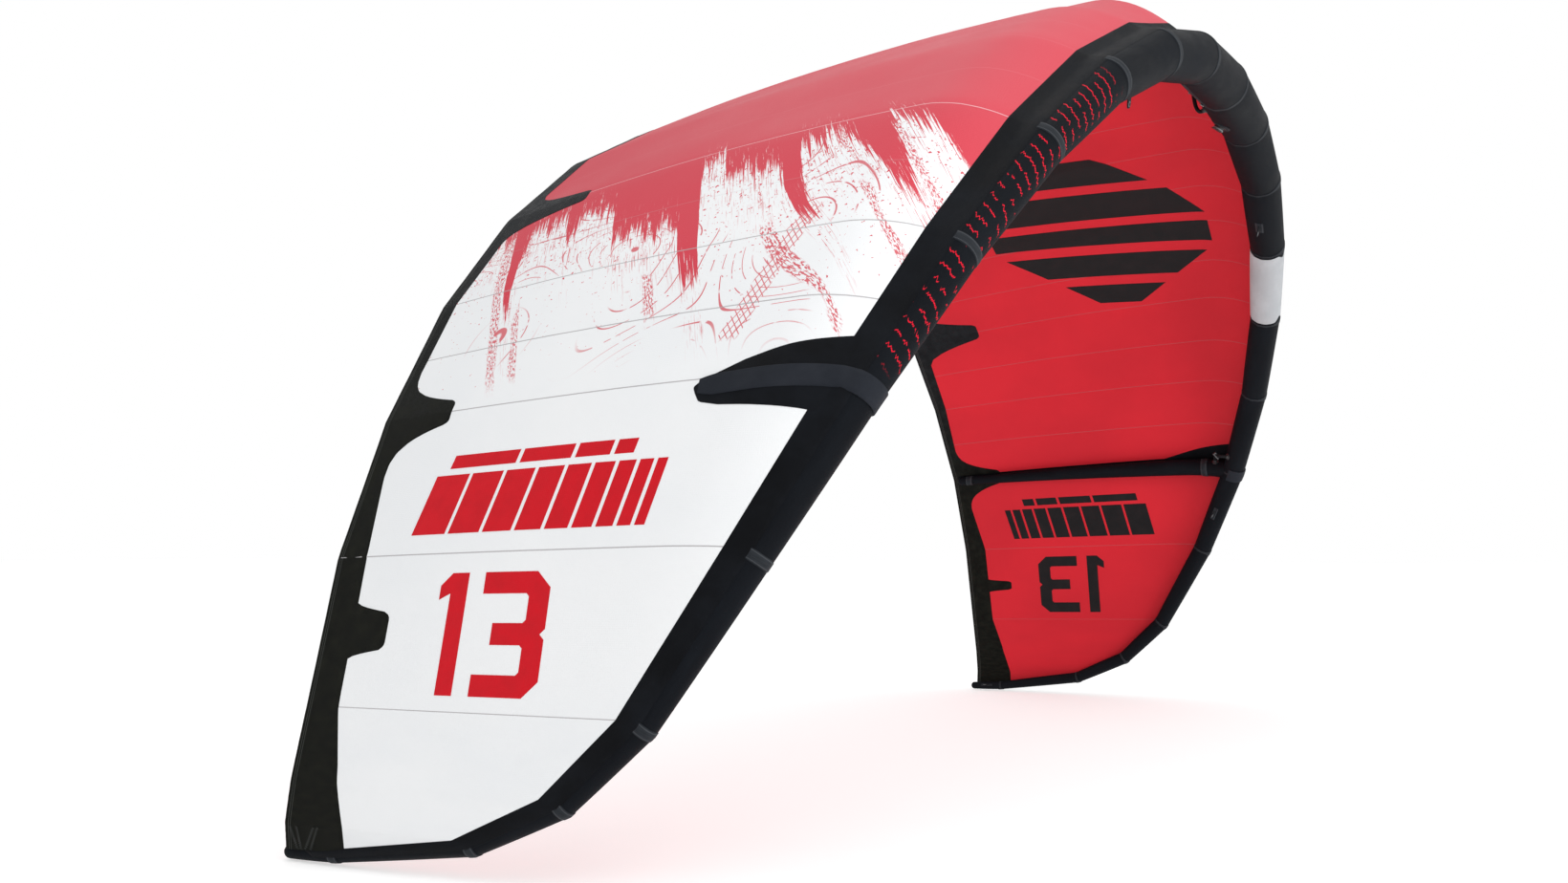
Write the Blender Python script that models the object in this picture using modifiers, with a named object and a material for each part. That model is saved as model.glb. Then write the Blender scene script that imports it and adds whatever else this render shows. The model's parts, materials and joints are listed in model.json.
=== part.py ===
"""A 13 square metre inflatable kitesurf kite in its flying shape.

X is the span, with the left half at -X. Y runs from the leading edge back to the trailing edge. Z is up.
The origin is the middle of the kite's footprint, on the level plane under its two tips.

The leading edge is a chain of straight, tapered panels on each side. Seam 0 is on the centre line and seam
12 is the tip, and a station such as 6.5 is half way along the panel after seam 6. Each station has its own
outward direction, square to the arch as seen from the front, and the ribs run back from it along +Y.
"""

import math

import bmesh
import bpy
from mathutils import Matrix, Vector

# Driving dimensions, in metres and degrees.
PANEL_LENGTHS = (0.4745,) * 8 + (0.285, 0.285, 0.445, 0.155)
ARCH_PANELS = 8
LEAN_FIRST, LEAN_STEP = 4.25, 10.3
SWEEP_LINEAR, SWEEP_SQUARE = 2.24, 0.31
TIP_LEANS = (84.0, 88.0, 90.0, 90.0)
TIP_SWEEPS = (47.0, 66.0, 82.0, 88.0)
TUBE_RADIUS, TUBE_TAPER = 0.096, 0.0155
TUBE_SIDES = 16
SLEEVE_SEAMS = {"left": (0, 2, 4, 6, 8, 10, 12), "right": (0, 1, 2, 4, 6, 8, 10, 12)}
SLEEVE_WALL = 0.003
BLADDER_WALL = 0.002
BLADDER_INSET = 0.0045

TRAILING_EDGE_Y = 1.945
TRAILING_BOW = 0.030
TRAILING_INSET = 0.040
TIP_LIFT_FROM, TIP_LIFT_TO = 8.0, 10.0
ATTACH_VERTEX = 3
ATTACH_GAP = 0.006
CAMBERS = ((0.0, 0.112), (2.0, 0.068), (4.0, 0.065), (6.0, 0.035), (8.0, 0.0), (12.0, 0.0))
CAMBER_PEAK = 0.16
CLOTH = 0.003
PATCH_LIFT = 0.0045
PATCH_CLOTH = 0.0025
CANOPY_END = 10.9
PATCH_DEPTHS = ((0.0, 0.19), (3.0, 0.19), (3.75, 0.28), (4.25, 0.28), (5.0, 0.20), (6.3, 0.20), (7.3, 0.13))
BAND_DEPTHS = ((0.0, 0.07), (5.6, 0.055), (7.0, 0.11), (8.0, 0.115), (9.5, 0.15), (12.0, 0.15))

STRUT_SEAM = 6
STRUT_RADIUS_FRONT, STRUT_RADIUS_REAR = 0.045, 0.022
STRUT_SIDES = 12
STRUT_TAIL = 0.05
STRUT_HANG = 0.003
STRUT_BLADDER_INSET = 0.006
STRAP_HALF, STRAP_LIFT, STRAP_CLOTH = 0.07, 0.0025, 0.002
STRAP_VERTICES = range(4, 14)

HOSE_RADIUS, HOSE_WALL = 0.0075, 0.0016
HOSE_FLAT_WIDE, HOSE_FLAT_HIGH = 0.0105, 0.0030
HOSE_FLAT_TO, HOSE_ROUND_FROM = 0.0090, 0.0180
HOSE_SIDES = 10

NECK_RADIUS, NECK_BORE = 0.0125, 0.0110
VALVE_HOLE = 0.0145
VALVE_STATION, ZIP_STATIONS = 0.5, (0.10, 0.95)
INNER_FACET = -3
FLAP_RADIUS = 0.0098
CAP_HINGE_OUT, CAP_HINGE_UP = 0.0232, 0.0168
TURNED_STEPS = 24

TAB_WIDTH, TAB_HEIGHT, TAB_THICK, TAB_EYE = 0.028, 0.045, 0.004, 0.006
BRIDLE_STATIONS, REAR_STATION = (2.5, 6.5), 11.5
TAB_FACET = -4

GAP = 0.0003
STATION_GAP = 0.0006
SLEEVE_GAP = 0.003

CENTRE_STATIONS = (0, 0.25, 0.5, 1, 1.5, 2, 2.5, 3, 3.5, 3.75, 4, 4.25, 4.5, 5, 5.5, 5.75, 6)
TIP_STATIONS = (6, 6.25, 6.5, 7, 7.35, 7.65, 8, 8.5, 9, 9.5, 10, 10.5, CANOPY_END)
BAND_TIP_STATIONS = TIP_STATIONS + (11.35, 11.7)
CHORD_FRACTIONS = (0, 0.06, 0.15, 0.28, 0.45, 0.7, 1)
WEDGE_CHORD_LINES = 5

SIDES = {"left": -1.0, "right": 1.0}

COLOURS = {
    "sleeve_black": ((0.012, 0.014, 0.017), 0.55),
    "bladder_clear": ((0.55, 0.58, 0.56), 0.30),
    "canopy_red": ((0.60, 0.022, 0.035), 0.45),
    "band_black": ((0.016, 0.017, 0.015), 0.60),
    "webbing_grey": ((0.035, 0.037, 0.040), 0.70),
    "hose_black": ((0.020, 0.020, 0.022), 0.35),
    "moulded_black": ((0.015, 0.015, 0.016), 0.40),
    "moulded_grey": ((0.16, 0.17, 0.18), 0.45),
    "flap_rubber": ((0.05, 0.05, 0.05), 0.60),
}


# Scene helpers.


def clear_scene():
    for obj in list(bpy.data.objects):
        bpy.data.objects.remove(obj)
    for group in list(bpy.data.collections):
        bpy.data.collections.remove(group)


def new_collection(name):
    group = bpy.data.collections.new(name)
    bpy.context.scene.collection.children.link(group)
    return group


def material(name):
    """The Principled material of this name, made on first use."""
    found = bpy.data.materials.get(name)
    if found:
        return found
    colour, roughness = COLOURS[name]
    made = bpy.data.materials.new(name)
    made.use_nodes = True
    shader = made.node_tree.nodes["Principled BSDF"]
    shader.inputs["Base Color"].default_value = (*colour, 1.0)
    shader.inputs["Roughness"].default_value = roughness
    shader.inputs["Metallic"].default_value = 0.0
    made.diffuse_color = (*colour, 1.0)
    return made


def add_object(name, mesh, finish, parent):
    obj = bpy.data.objects.new(name, mesh)
    mesh.materials.append(material(finish))
    KITE.objects.link(obj)
    obj.parent = parent
    return obj


def add_cutter(name, mesh, parent):
    obj = bpy.data.objects.new(name, mesh)
    CUTTERS.objects.link(obj)
    obj.parent = parent
    obj.hide_render = True
    obj.display_type = "WIRE"
    return obj


def solidify(obj, thickness, offset):
    """Gives an open sheet its thickness: offset -1 adds it on the inside and 0 on both sides."""
    shell = obj.modifiers.new("Thickness", "SOLIDIFY")
    shell.thickness = thickness
    shell.offset = offset


def boolean(obj, cutter, operation):
    cut = obj.modifiers.new(operation.title(), "BOOLEAN")
    cut.operation = operation
    cut.object = cutter
    return cut


def sheet(name, rows, finish, ring=False, tail=None, nose=None):
    """An open sheet through rows of points, all of one length.

    With ring set each row closes on itself. A tail point closes the last row, and a nose the first.
    """
    form = bmesh.new()
    grid = [[form.verts.new(point) for point in row] for row in rows]
    count = len(rows[0])
    span = range(count) if ring else range(count - 1)
    for first, second in zip(grid, grid[1:]):
        for k in span:
            form.faces.new((first[k], first[(k + 1) % count], second[(k + 1) % count], second[k]))
    for point, row, step in ((tail, grid[-1], 1), (nose, grid[0], -1)):
        if point is None:
            continue
        tip = form.verts.new(point)
        for k in span:
            form.faces.new((row[k], row[(k + step) % count], tip))
    bmesh.ops.recalc_face_normals(form, faces=form.faces)
    if ring:
        middle = sum((Vector(p) for p in rows[0] + rows[1]), Vector()) / (2 * count)
        form.faces.ensure_lookup_table()
        wall = form.faces[0]
        if wall.normal.dot(wall.calc_center_median() - middle) < 0:
            bmesh.ops.reverse_faces(form, faces=form.faces)
    mesh = bpy.data.meshes.new(name)
    form.to_mesh(mesh)
    form.free()
    if ring:
        mesh.shade_smooth()
        mesh.set_sharp_from_angle(angle=math.radians(40))
    return add_object(name, mesh, finish, FRAME)


def box_mesh(name, low, high, bevel=0.0):
    form = bmesh.new()
    bmesh.ops.create_cube(form, size=1.0)
    size = Vector(high) - Vector(low)
    bmesh.ops.scale(form, vec=size, verts=form.verts)
    bmesh.ops.translate(form, vec=(Vector(high) + Vector(low)) / 2, verts=form.verts)
    if bevel:
        bmesh.ops.bevel(form, geom=form.edges[:], offset=bevel, segments=1, affect="EDGES")
    mesh = bpy.data.meshes.new(name)
    form.to_mesh(mesh)
    form.free()
    return mesh


def rod_mesh(name, radius, start, end, segments=16):
    """A cylinder along X from start to end, on the axis through start."""
    form = bmesh.new()
    length = end[0] - start[0]
    turn = Matrix.Rotation(math.radians(90), 4, "Y")
    place = Matrix.Translation((Vector(start) + Vector(end)) / 2) @ turn
    bmesh.ops.create_cone(
        form, cap_ends=True, segments=segments, radius1=radius, radius2=radius, depth=length, matrix=place
    )
    mesh = bpy.data.meshes.new(name)
    form.to_mesh(mesh)
    form.free()
    return mesh


def turned(name, profile, finish, parent):
    """A ring or disc turned about Z. The profile is a list of (radius, height) down its outer side."""
    form = bmesh.new()
    points = [form.verts.new((radius, 0.0, height)) for radius, height in profile]
    for first, second in zip(points, points[1:]):
        form.edges.new((first, second))
    if profile[0][0] > 0:
        form.edges.new((points[-1], points[0]))
    mesh = bpy.data.meshes.new(name)
    form.to_mesh(mesh)
    form.free()
    obj = add_object(name, mesh, finish, parent)
    turn = obj.modifiers.new("Turn", "SCREW")
    turn.steps = TURNED_STEPS
    turn.render_steps = TURNED_STEPS
    turn.use_merge_vertices = True
    turn.merge_threshold = 0.00005
    return obj


def frame_empty(name, matrix, parent):
    empty = bpy.data.objects.new(name, None)
    empty.empty_display_size = 0.05
    KITE.objects.link(empty)
    empty.parent = parent
    empty.matrix_local = matrix
    return empty


# The leading edge's geometry.


def panel_angles(k):
    """(lean, sweep) of panel k, in radians: its fall below level, and its turn towards +Y."""
    if k < ARCH_PANELS:
        lean = LEAN_FIRST + LEAN_STEP * k
        sweep = SWEEP_LINEAR * k + SWEEP_SQUARE * k * k
    else:
        lean = TIP_LEANS[k - ARCH_PANELS]
        sweep = TIP_SWEEPS[k - ARCH_PANELS]
    return math.radians(lean), math.radians(sweep)


def panel_direction(k):
    lean, sweep = panel_angles(k)
    return Vector((math.cos(sweep) * math.cos(lean), math.sin(sweep), -math.cos(sweep) * math.sin(lean)))


def seam_list():
    """The seams on the right half: centre, lean, along, outward, back and radius of each."""
    seams = []
    centre = Vector()
    travelled = 0.0
    last = len(PANEL_LENGTHS)
    for j in range(last + 1):
        before = max(j - 1, 0)
        after = min(j, last - 1)
        along = (panel_direction(before) + panel_direction(after)).normalized()
        lean = (panel_angles(before)[0] + panel_angles(after)[0]) / 2
        if j == 0:
            along = Vector((1, 0, 0))
            lean = 0.0
        outward = Vector((math.sin(lean), 0, math.cos(lean)))
        outward = (outward - along * outward.dot(along)).normalized()
        back = outward.cross(along)
        seams.append((centre.copy(), lean, along, outward, back, TUBE_RADIUS - TUBE_TAPER * travelled))
        if j < last:
            centre += panel_direction(j) * PANEL_LENGTHS[j]
            travelled += PANEL_LENGTHS[j]
    return seams


def between(station, value):
    """Linear between the two seams around this station. value(j) gives the value at seam j."""
    j = min(int(station), len(PANEL_LENGTHS) - 1)
    part = station - j
    return value(j) * (1 - part) + value(j + 1) * part


def seam_ring_point(j, vertex, extra):
    centre, _, _, outward, back, radius = SEAMS[j]
    turn = 2 * math.pi * vertex / TUBE_SIDES
    return centre + (radius + extra) * (math.cos(turn) * back + math.sin(turn) * outward)


def tube_point(station, vertex, extra=0.0, side=1.0):
    """A point on the tube, extra metres off it. A vertex counts sixteenths of a turn from the back."""
    point = between(station, lambda j: seam_ring_point(j, vertex, extra))
    return Vector((point.x * side, point.y, point.z))


def tube_ring(station, extra=0.0, side=1.0):
    return [tube_point(station, k, extra, side) for k in range(TUBE_SIDES)]


def tip_rings(extra, side):
    """Two rings and a pole that round off the tube's tip."""
    centre, _, along, _, _, radius = SEAMS[-1]
    full = radius + extra
    rings = []
    for angle in (math.radians(35), math.radians(65)):
        slide = along * full * math.sin(angle)
        smaller = full * math.cos(angle) - radius
        ring = [seam_ring_point(len(SEAMS) - 1, k, smaller) + slide for k in range(TUBE_SIDES)]
        rings.append([Vector((p.x * side, p.y, p.z)) for p in ring])
    pole = centre + along * full
    return rings, Vector((pole.x * side, pole.y, pole.z))


# The canopy's geometry.


def outward_at(station):
    """The arch's outward direction on the right half, seen from the front."""
    lean = between(station, lambda j: SEAMS[j][1])
    return Vector((math.sin(lean), 0, math.cos(lean)))


def attach_point(station):
    return tube_point(station, ATTACH_VERTEX, ATTACH_GAP)


def trailing_point(station):
    point = between(station, lambda j: SEAMS[j][0])
    inset = TRAILING_INSET * math.sin(math.pi * min(station, 9.0) / 9.0)
    point = point - outward_at(station) * inset
    over_tube = min(max((station - TIP_LIFT_FROM) / (TIP_LIFT_TO - TIP_LIFT_FROM), 0.0), 1.0)
    point += (attach_point(station) - between(station, lambda j: SEAMS[j][0])) * over_tube
    point.y = TRAILING_EDGE_Y - TRAILING_BOW * min(station / STRUT_SEAM, 1.0) ** 2
    return point


def camber_shape(t):
    """A rib's rise over its chord line, 1 at its peak."""
    peak = CAMBER_PEAK
    if t < peak:
        return (2 * peak * t - t * t) / peak**2
    return (1 - 2 * peak + 2 * peak * t - t * t) / (1 - peak) ** 2


def from_table(table, station):
    """Linear between the (station, value) pairs of a table."""
    for (first, start), (second, end) in zip(table, table[1:]):
        if station <= second:
            return start + (end - start) * (station - first) / (second - first)
    return table[-1][1]


def canopy_point(station, y, lift=0.0, side=1.0):
    """The middle of the cloth at this station and y, or lift metres outside it."""
    front = attach_point(station)
    rear = trailing_point(station)
    chord = rear.y - front.y
    t = min(max((y - front.y) / chord, 0.0), 1.0)
    point = front.lerp(rear, t)
    point += outward_at(station) * (from_table(CAMBERS, station) * chord * camber_shape(t) + lift)
    point.y = y
    return Vector((point.x * side, point.y, point.z))


def band_front(station):
    """Where the cloth ends and the trailing-edge band begins. The band alone fills the tip."""
    front = attach_point(station).y
    return max(trailing_point(station).y - from_table(BAND_DEPTHS, station), front + 0.004)


def chord_lines(station):
    """The y of each line across the cloth, from the leading edge to the band."""
    front = attach_point(station).y
    rear = band_front(station)
    patch = rear - min(from_table(PATCH_DEPTHS, station), 0.5 * (rear - front))
    return [front + f * (patch - front) for f in CHORD_FRACTIONS] + [rear - GAP]


def cloth_point(station, y):
    """The middle of the cloth as built, which is straight between its chord lines."""
    lines = chord_lines(station) + [trailing_point(station).y]
    for first, second in zip(lines, lines[1:]):
        if y <= second:
            part = (y - first) / (second - first)
            return canopy_point(station, first).lerp(canopy_point(station, second), part)
    return canopy_point(station, y)


def trimmed(stations):
    """The same stations, with a small gap left at each end."""
    return (stations[0] + STATION_GAP, *stations[1:-1], stations[-1] - STATION_GAP)


# The parts.


def leading_edge_sleeves():
    """The tube's sleeve, in pieces of one or two panels. The valve's panel is a piece of its own."""
    for side, sign in SIDES.items():
        ends = SLEEVE_SEAMS[side]
        for number, (first, last) in enumerate(zip(ends, ends[1:]), 1):
            rows = [tube_ring(first + SLEEVE_GAP, 0, sign)]
            rows += [tube_ring(seam, 0, sign) for seam in range(first + 1, last)]
            tail = None
            if last < len(PANEL_LENGTHS):
                rows.append(tube_ring(last - SLEEVE_GAP, 0, sign))
            else:
                rows.append(tube_ring(last, 0, sign))
                rings, tail = tip_rings(0, sign)
                rows += rings
            sleeve = sheet(f"le_sleeve_{side}_{number}", rows, "sleeve_black", ring=True, tail=tail)
            solidify(sleeve, SLEEVE_WALL, -1)


def leading_edge_bladder():
    left_rings, left_pole = tip_rings(-BLADDER_INSET, -1)
    right_rings, right_pole = tip_rings(-BLADDER_INSET, 1)
    rows = left_rings[::-1]
    rows += [tube_ring(j, -BLADDER_INSET, -1) for j in range(12, 0, -1)]
    rows += [tube_ring(j, -BLADDER_INSET, 1) for j in range(13)]
    rows += right_rings
    bladder = sheet("le_bladder", rows, "bladder_clear", ring=True, tail=right_pole, nose=left_pole)
    solidify(bladder, BLADDER_WALL, -1)
    return bladder


def strut_rows(station, sign, inset, start_gap, end_gap):
    """Rings of a strut's tube, hung under the cloth from the leading edge almost to the trailing edge."""
    centre, _, along, _, _, radius = SEAMS[station]
    slope = abs(along.y) / math.hypot(along.x, along.z)
    reach = radius * math.hypot(1, slope) + STRUT_RADIUS_FRONT * slope + 0.004
    front = centre.y + reach
    rear = trailing_point(station).y - STRUT_TAIL
    first, last = front + start_gap, rear - end_gap
    inward = -outward_at(station)
    across = Vector((-inward.z, 0, inward.x))
    rows = []
    for y in [first] + [y for y in chord_lines(station) if first < y < last] + [last]:
        full = STRUT_RADIUS_FRONT + (STRUT_RADIUS_REAR - STRUT_RADIUS_FRONT) * (y - front) / (rear - front)
        hub = cloth_point(station, y) + inward * (full + STRUT_HANG)
        row = []
        for m in range(STRUT_SIDES):
            turn = 2 * math.pi * m / STRUT_SIDES
            point = hub + (full - inset) * (math.cos(turn) * inward + math.sin(turn) * across)
            row.append(Vector((point.x * sign, point.y, point.z)))
        rows.append(row)
    return rows


def closing(row, scale, shift):
    """The row drawn in towards its middle and moved along Y, to close a tube."""
    middle = sum(row, Vector()) / len(row)
    return [middle + (point - middle) * scale + Vector((0, shift, 0)) for point in row]


def struts():
    for name, station, sign in (("centre", 0, 1), ("left", STRUT_SEAM, -1), ("right", STRUT_SEAM, 1)):
        rows = strut_rows(station, sign, 0, 0, 0)
        rows.append(closing(rows[-1], 0.7, 0.014))
        tail = sum(rows[-1], Vector()) / STRUT_SIDES + Vector((0, 0.005, 0))
        sleeve = sheet(f"strut_sleeve_{name}", rows, "sleeve_black", ring=True, tail=tail)
        solidify(sleeve, SLEEVE_WALL, -1)

        rows = strut_rows(station, sign, STRUT_BLADDER_INSET, 0.03, 0.01)
        rows.insert(0, closing(rows[0], 0.3, -0.016))
        rows.append(closing(rows[-1], 0.6, 0.012))
        tail = sum(rows[-1], Vector()) / STRUT_SIDES + Vector((0, 0.004, 0))
        bladder = sheet(f"strut_bladder_{name}", rows, "bladder_clear", ring=True, tail=tail)
        solidify(bladder, BLADDER_WALL, -1)


def canopy_panels():
    for side, sign in SIDES.items():
        for part, stations in (("centre", CENTRE_STATIONS), ("tip", TIP_STATIONS)):
            rows = [[canopy_point(i, y, 0, sign) for y in chord_lines(i)] for i in trimmed(stations)]
            panel = sheet(f"canopy_{part}_{side}", rows, "canopy_red")
            solidify(panel, CLOTH, 0)


def trailing_bands():
    for side, sign in SIDES.items():
        for part, stations in (("centre", CENTRE_STATIONS), ("tip", BAND_TIP_STATIONS)):
            rows = []
            for i in trimmed(stations):
                front = band_front(i) + GAP
                rear = trailing_point(i).y
                rows.append([canopy_point(i, front, 0, sign), canopy_point(i, rear, 0, sign)])
            band = sheet(f"te_band_{part}_{side}", rows, "band_black")
            solidify(band, CLOTH, 0)


def patch(name, stations, first_line, last_line, sign):
    """A patch sewn over the cloth's outer face. It follows the canopy's own lines, parallel to it."""
    rows = []
    for i in stations:
        lines = chord_lines(abs(i))[first_line : last_line + 1]
        rows.append([canopy_point(abs(i), y, PATCH_LIFT, sign if i >= 0 else -sign) for y in lines])
    cover = sheet(name, rows, "band_black")
    solidify(cover, PATCH_CLOTH, 0)


def patches():
    rear_lines = (len(CHORD_FRACTIONS) - 1, len(CHORD_FRACTIONS))
    patch("te_patch_centre", (-0.25, 0, 0.25), *rear_lines, 1)
    for side, sign in SIDES.items():
        patch(f"te_patch_strut_{side}", (5.75, 6, 6.25), *rear_lines, sign)
        patch(f"te_patch_mid_{side}", (3.75, 4, 4.25), *rear_lines, sign)
        patch(f"te_tab_{side}", (7.35, 7.65), *rear_lines, sign)
        patch(f"strut_wedge_{side}", (5.75, 6, 6.25), 0, WEDGE_CHORD_LINES - 1, sign)


def strut_straps():
    """A webbing strap round the leading edge at each side strut, open at the back for the cloth."""
    for side, sign in SIDES.items():
        rows = []
        for i in (STRUT_SEAM - STRAP_HALF, STRUT_SEAM, STRUT_SEAM + STRAP_HALF):
            rows.append([tube_point(i, k, STRAP_LIFT, sign) for k in STRAP_VERTICES])
        strap = sheet(f"strut_strap_{side}", rows, "webbing_grey")
        solidify(strap, STRAP_CLOTH, 0)


def facet_frame(station, vertex, lift, side):
    """A frame on the tube's flat facet after this vertex: X along the tube, Z outwards, lift metres off."""
    a = tube_point(station - 0.05, vertex, 0, side)
    b = tube_point(station - 0.05, vertex + 1, 0, side)
    c = tube_point(station + 0.05, vertex, 0, side)
    d = tube_point(station + 0.05, vertex + 1, 0, side)
    x = ((c + d) - (a + b)).normalized()
    z = x.cross((b + d) - (a + c)).normalized()
    middle = (a + b + c + d) / 4
    hub = between(station, lambda j: SEAMS[j][0])
    if z.dot(middle - Vector((hub.x * side, hub.y, hub.z))) < 0:
        z = -z
    y = z.cross(x)
    turn = Matrix((x, y, z)).transposed().to_4x4()
    return Matrix.Translation(middle + z * lift) @ turn


def valve(bladder):
    """The inflation and deflation valve on the leading edge's inner face, right of the centre strut."""
    home = frame_empty("valve_frame", facet_frame(VALVE_STATION, INNER_FACET, 0.001, 1), FRAME)

    turned(
        "valve_base",
        (
            (NECK_BORE, 0.0030),
            (0.0165, 0.0030),
            (0.0165, 0.0095),
            (0.0190, 0.0095),
            (0.0190, 0.0030),
            (0.0260, 0.0020),
            (0.0260, 0.0),
            (NECK_RADIUS, 0.0),
            (NECK_RADIUS, -0.0180),
            (NECK_BORE, -0.0180),
        ),
        "moulded_black",
        home,
    )

    collar_frame = frame_empty("valve_collar_frame", Matrix(), home)
    turned(
        "valve_collar",
        (
            (0.0086, 0.0150),
            (0.0215, 0.0150),
            (0.0215, 0.0102),
            (0.0160, 0.0102),
            (0.0160, 0.0035),
            (0.0104, 0.0035),
            (0.0104, 0.0005),
            (0.0086, 0.0005),
        ),
        "moulded_grey",
        collar_frame,
    )

    flap_hinge = Matrix.Translation((0, -FLAP_RADIUS, -GAP))
    flap_frame = frame_empty("valve_flap_frame", flap_hinge, collar_frame)
    flap_profile = ((0.0, 0.0), (FLAP_RADIUS, 0.0), (FLAP_RADIUS, -0.0010), (0.0, -0.0010))
    flap = turned("valve_flap", flap_profile, "flap_rubber", flap_frame)
    flap.location = (0, FLAP_RADIUS, 0)

    cap_hinge = Matrix.Translation((0, -CAP_HINGE_OUT, CAP_HINGE_UP))
    cap_frame = frame_empty("valve_cap_frame", cap_hinge, collar_frame)
    cap = turned(
        "valve_cap",
        (
            (0.0, 0.0178),
            (0.0185, 0.0178),
            (0.0200, 0.0163),
            (0.0200, 0.0153),
            (0.0078, 0.0153),
            (0.0078, 0.0128),
            (0.0, 0.0128),
        ),
        "moulded_black",
        cap_frame,
    )
    cap.location = (0, CAP_HINGE_OUT, -CAP_HINGE_UP)
    ear_mesh = box_mesh("valve_cap_ear", (-0.006, -0.0245, 0.0154), (0.006, -0.0150, 0.0175))
    ear = add_cutter("valve_cap_ear", ear_mesh, cap)
    boolean(cap, ear, "UNION")

    hole_form = bmesh.new()
    bmesh.ops.create_cone(
        hole_form, cap_ends=True, segments=32, radius1=VALVE_HOLE, radius2=VALVE_HOLE, depth=0.05
    )
    hole_mesh = bpy.data.meshes.new("valve_hole")
    hole_form.to_mesh(hole_mesh)
    hole_form.free()
    hole = add_cutter("valve_hole", hole_mesh, home)
    boolean(bladder, hole, "DIFFERENCE")
    boolean(bpy.data.objects["le_sleeve_right_1"], hole, "DIFFERENCE")


def zip_and_slider():
    """The zip over the bladder's opening, on the leading edge's inner face, left of the centre strut."""
    sign = SIDES["left"]
    across = ((0.2, 0.0018), (0.40, 0.0018), (0.42, 0.0034), (0.58, 0.0034), (0.60, 0.0018), (0.8, 0.0018))
    rows = []
    for i in ZIP_STATIONS:
        row = []
        for f, lift in across:
            near = tube_point(i, INNER_FACET, lift, sign)
            far = tube_point(i, INNER_FACET + 1, lift, sign)
            row.append(near.lerp(far, f))
        rows.append(row)
    tape = sheet("le_zip", rows, "webbing_grey")
    solidify(tape, 0.0014, 0)

    home = frame_empty("zip_slider_frame", facet_frame(0.15, INNER_FACET, 0.0, sign), FRAME)
    slider_mesh = box_mesh("zip_slider", (-0.009, -0.006, 0.0052), (0.009, 0.006, 0.0090), 0.001)
    slider = add_object("zip_slider", slider_mesh, "moulded_grey", home)
    pull_mesh = box_mesh("zip_pull", (0.004, -0.003, 0.0080), (0.030, 0.003, 0.0098), 0.0004)
    pull = add_cutter("zip_pull", pull_mesh, slider)
    boolean(slider, pull, "UNION")


def bezier(points, t):
    a, b, c, d = points
    s = 1 - t
    return a * s**3 + b * (3 * s * s * t) + c * (3 * s * t * t) + d * t**3


def hose_path(station, sign):
    """Control points of the hose from the leading edge to its strut, on the strut's outboard side."""
    offset = 0.2 if station == 0 else -0.2
    port = tube_point(station + offset, -1.5, 0.004)
    leave = tube_point(station + offset, -1.5, 0.065)
    frame = strut_rows(station, 1, 0, 0, 0)
    hub = (sum(frame[1], Vector()) + sum(frame[0], Vector())) / (2 * STRUT_SIDES)
    along = SEAMS[station][2].copy()
    along.y = 0
    along.normalize()
    toward = along if station == 0 else -along
    inward = -outward_at(station)
    side = (toward + inward * 0.25).normalized()
    end = hub + side * (STRUT_RADIUS_FRONT + 0.002)
    enter = hub + side * (STRUT_RADIUS_FRONT + 0.060)
    points = [port, leave, enter, end]
    return [Vector((p.x * sign, p.y, p.z)) for p in points], Vector((inward.x * sign, 0, inward.z))


def hose_ring(middle, along, inward, wide_radius, high_radius):
    up = (inward - along * inward.dot(along)).normalized()
    wide = up.cross(along)
    ring = []
    for k in range(HOSE_SIDES):
        turn = 2 * math.pi * k / HOSE_SIDES
        ring.append(middle + wide * wide_radius * math.cos(turn) + up * high_radius * math.sin(turn))
    return ring


def hose_rows(points, inward):
    """Rings along the hose. It is straight under its clip, and pinched flat there."""
    middle = bezier(points, 0.5)
    step = bezier(points, 0.53) - bezier(points, 0.47)
    along = step.normalized()
    clear = 0.06 * HOSE_ROUND_FROM / step.length + 0.05
    rows = []
    for f in (0, 0.35, 0.7, 1.0):
        t = f * (0.5 - clear)
        tangent = (bezier(points, t + 0.01) - bezier(points, max(t - 0.01, 0))).normalized()
        rows.append(hose_ring(bezier(points, t), tangent, inward, HOSE_RADIUS, HOSE_RADIUS))
    for slide, wide, high in (
        (-HOSE_ROUND_FROM, HOSE_RADIUS, HOSE_RADIUS),
        (-HOSE_FLAT_TO, HOSE_FLAT_WIDE, HOSE_FLAT_HIGH),
        (HOSE_FLAT_TO, HOSE_FLAT_WIDE, HOSE_FLAT_HIGH),
        (HOSE_ROUND_FROM, HOSE_RADIUS, HOSE_RADIUS),
    ):
        rows.append(hose_ring(middle + along * slide, along, inward, wide, high))
    for f in (1.0, 0.7, 0.35, 0):
        t = 1 - f * (0.5 - clear)
        tangent = (bezier(points, min(t + 0.01, 1)) - bezier(points, t - 0.01)).normalized()
        rows.append(hose_ring(bezier(points, t), tangent, inward, HOSE_RADIUS, HOSE_RADIUS))
    return rows, middle, along


def hoses_and_clips():
    for name, station, sign in (("centre", 0, 1), ("left", STRUT_SEAM, -1), ("right", STRUT_SEAM, 1)):
        points, inward = hose_path(station, sign)
        rows, middle, x = hose_rows(points, inward)
        hose = sheet(f"hose_{name}", rows, "hose_black", ring=True)
        solidify(hose, HOSE_WALL, -1)

        z = (inward - x * inward.dot(x)).normalized()
        y = z.cross(x)
        place = Matrix.Translation(middle) @ Matrix((x, y, z)).transposed().to_4x4()
        clip(name, frame_empty(f"clip_frame_{name}", place, FRAME))


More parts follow.
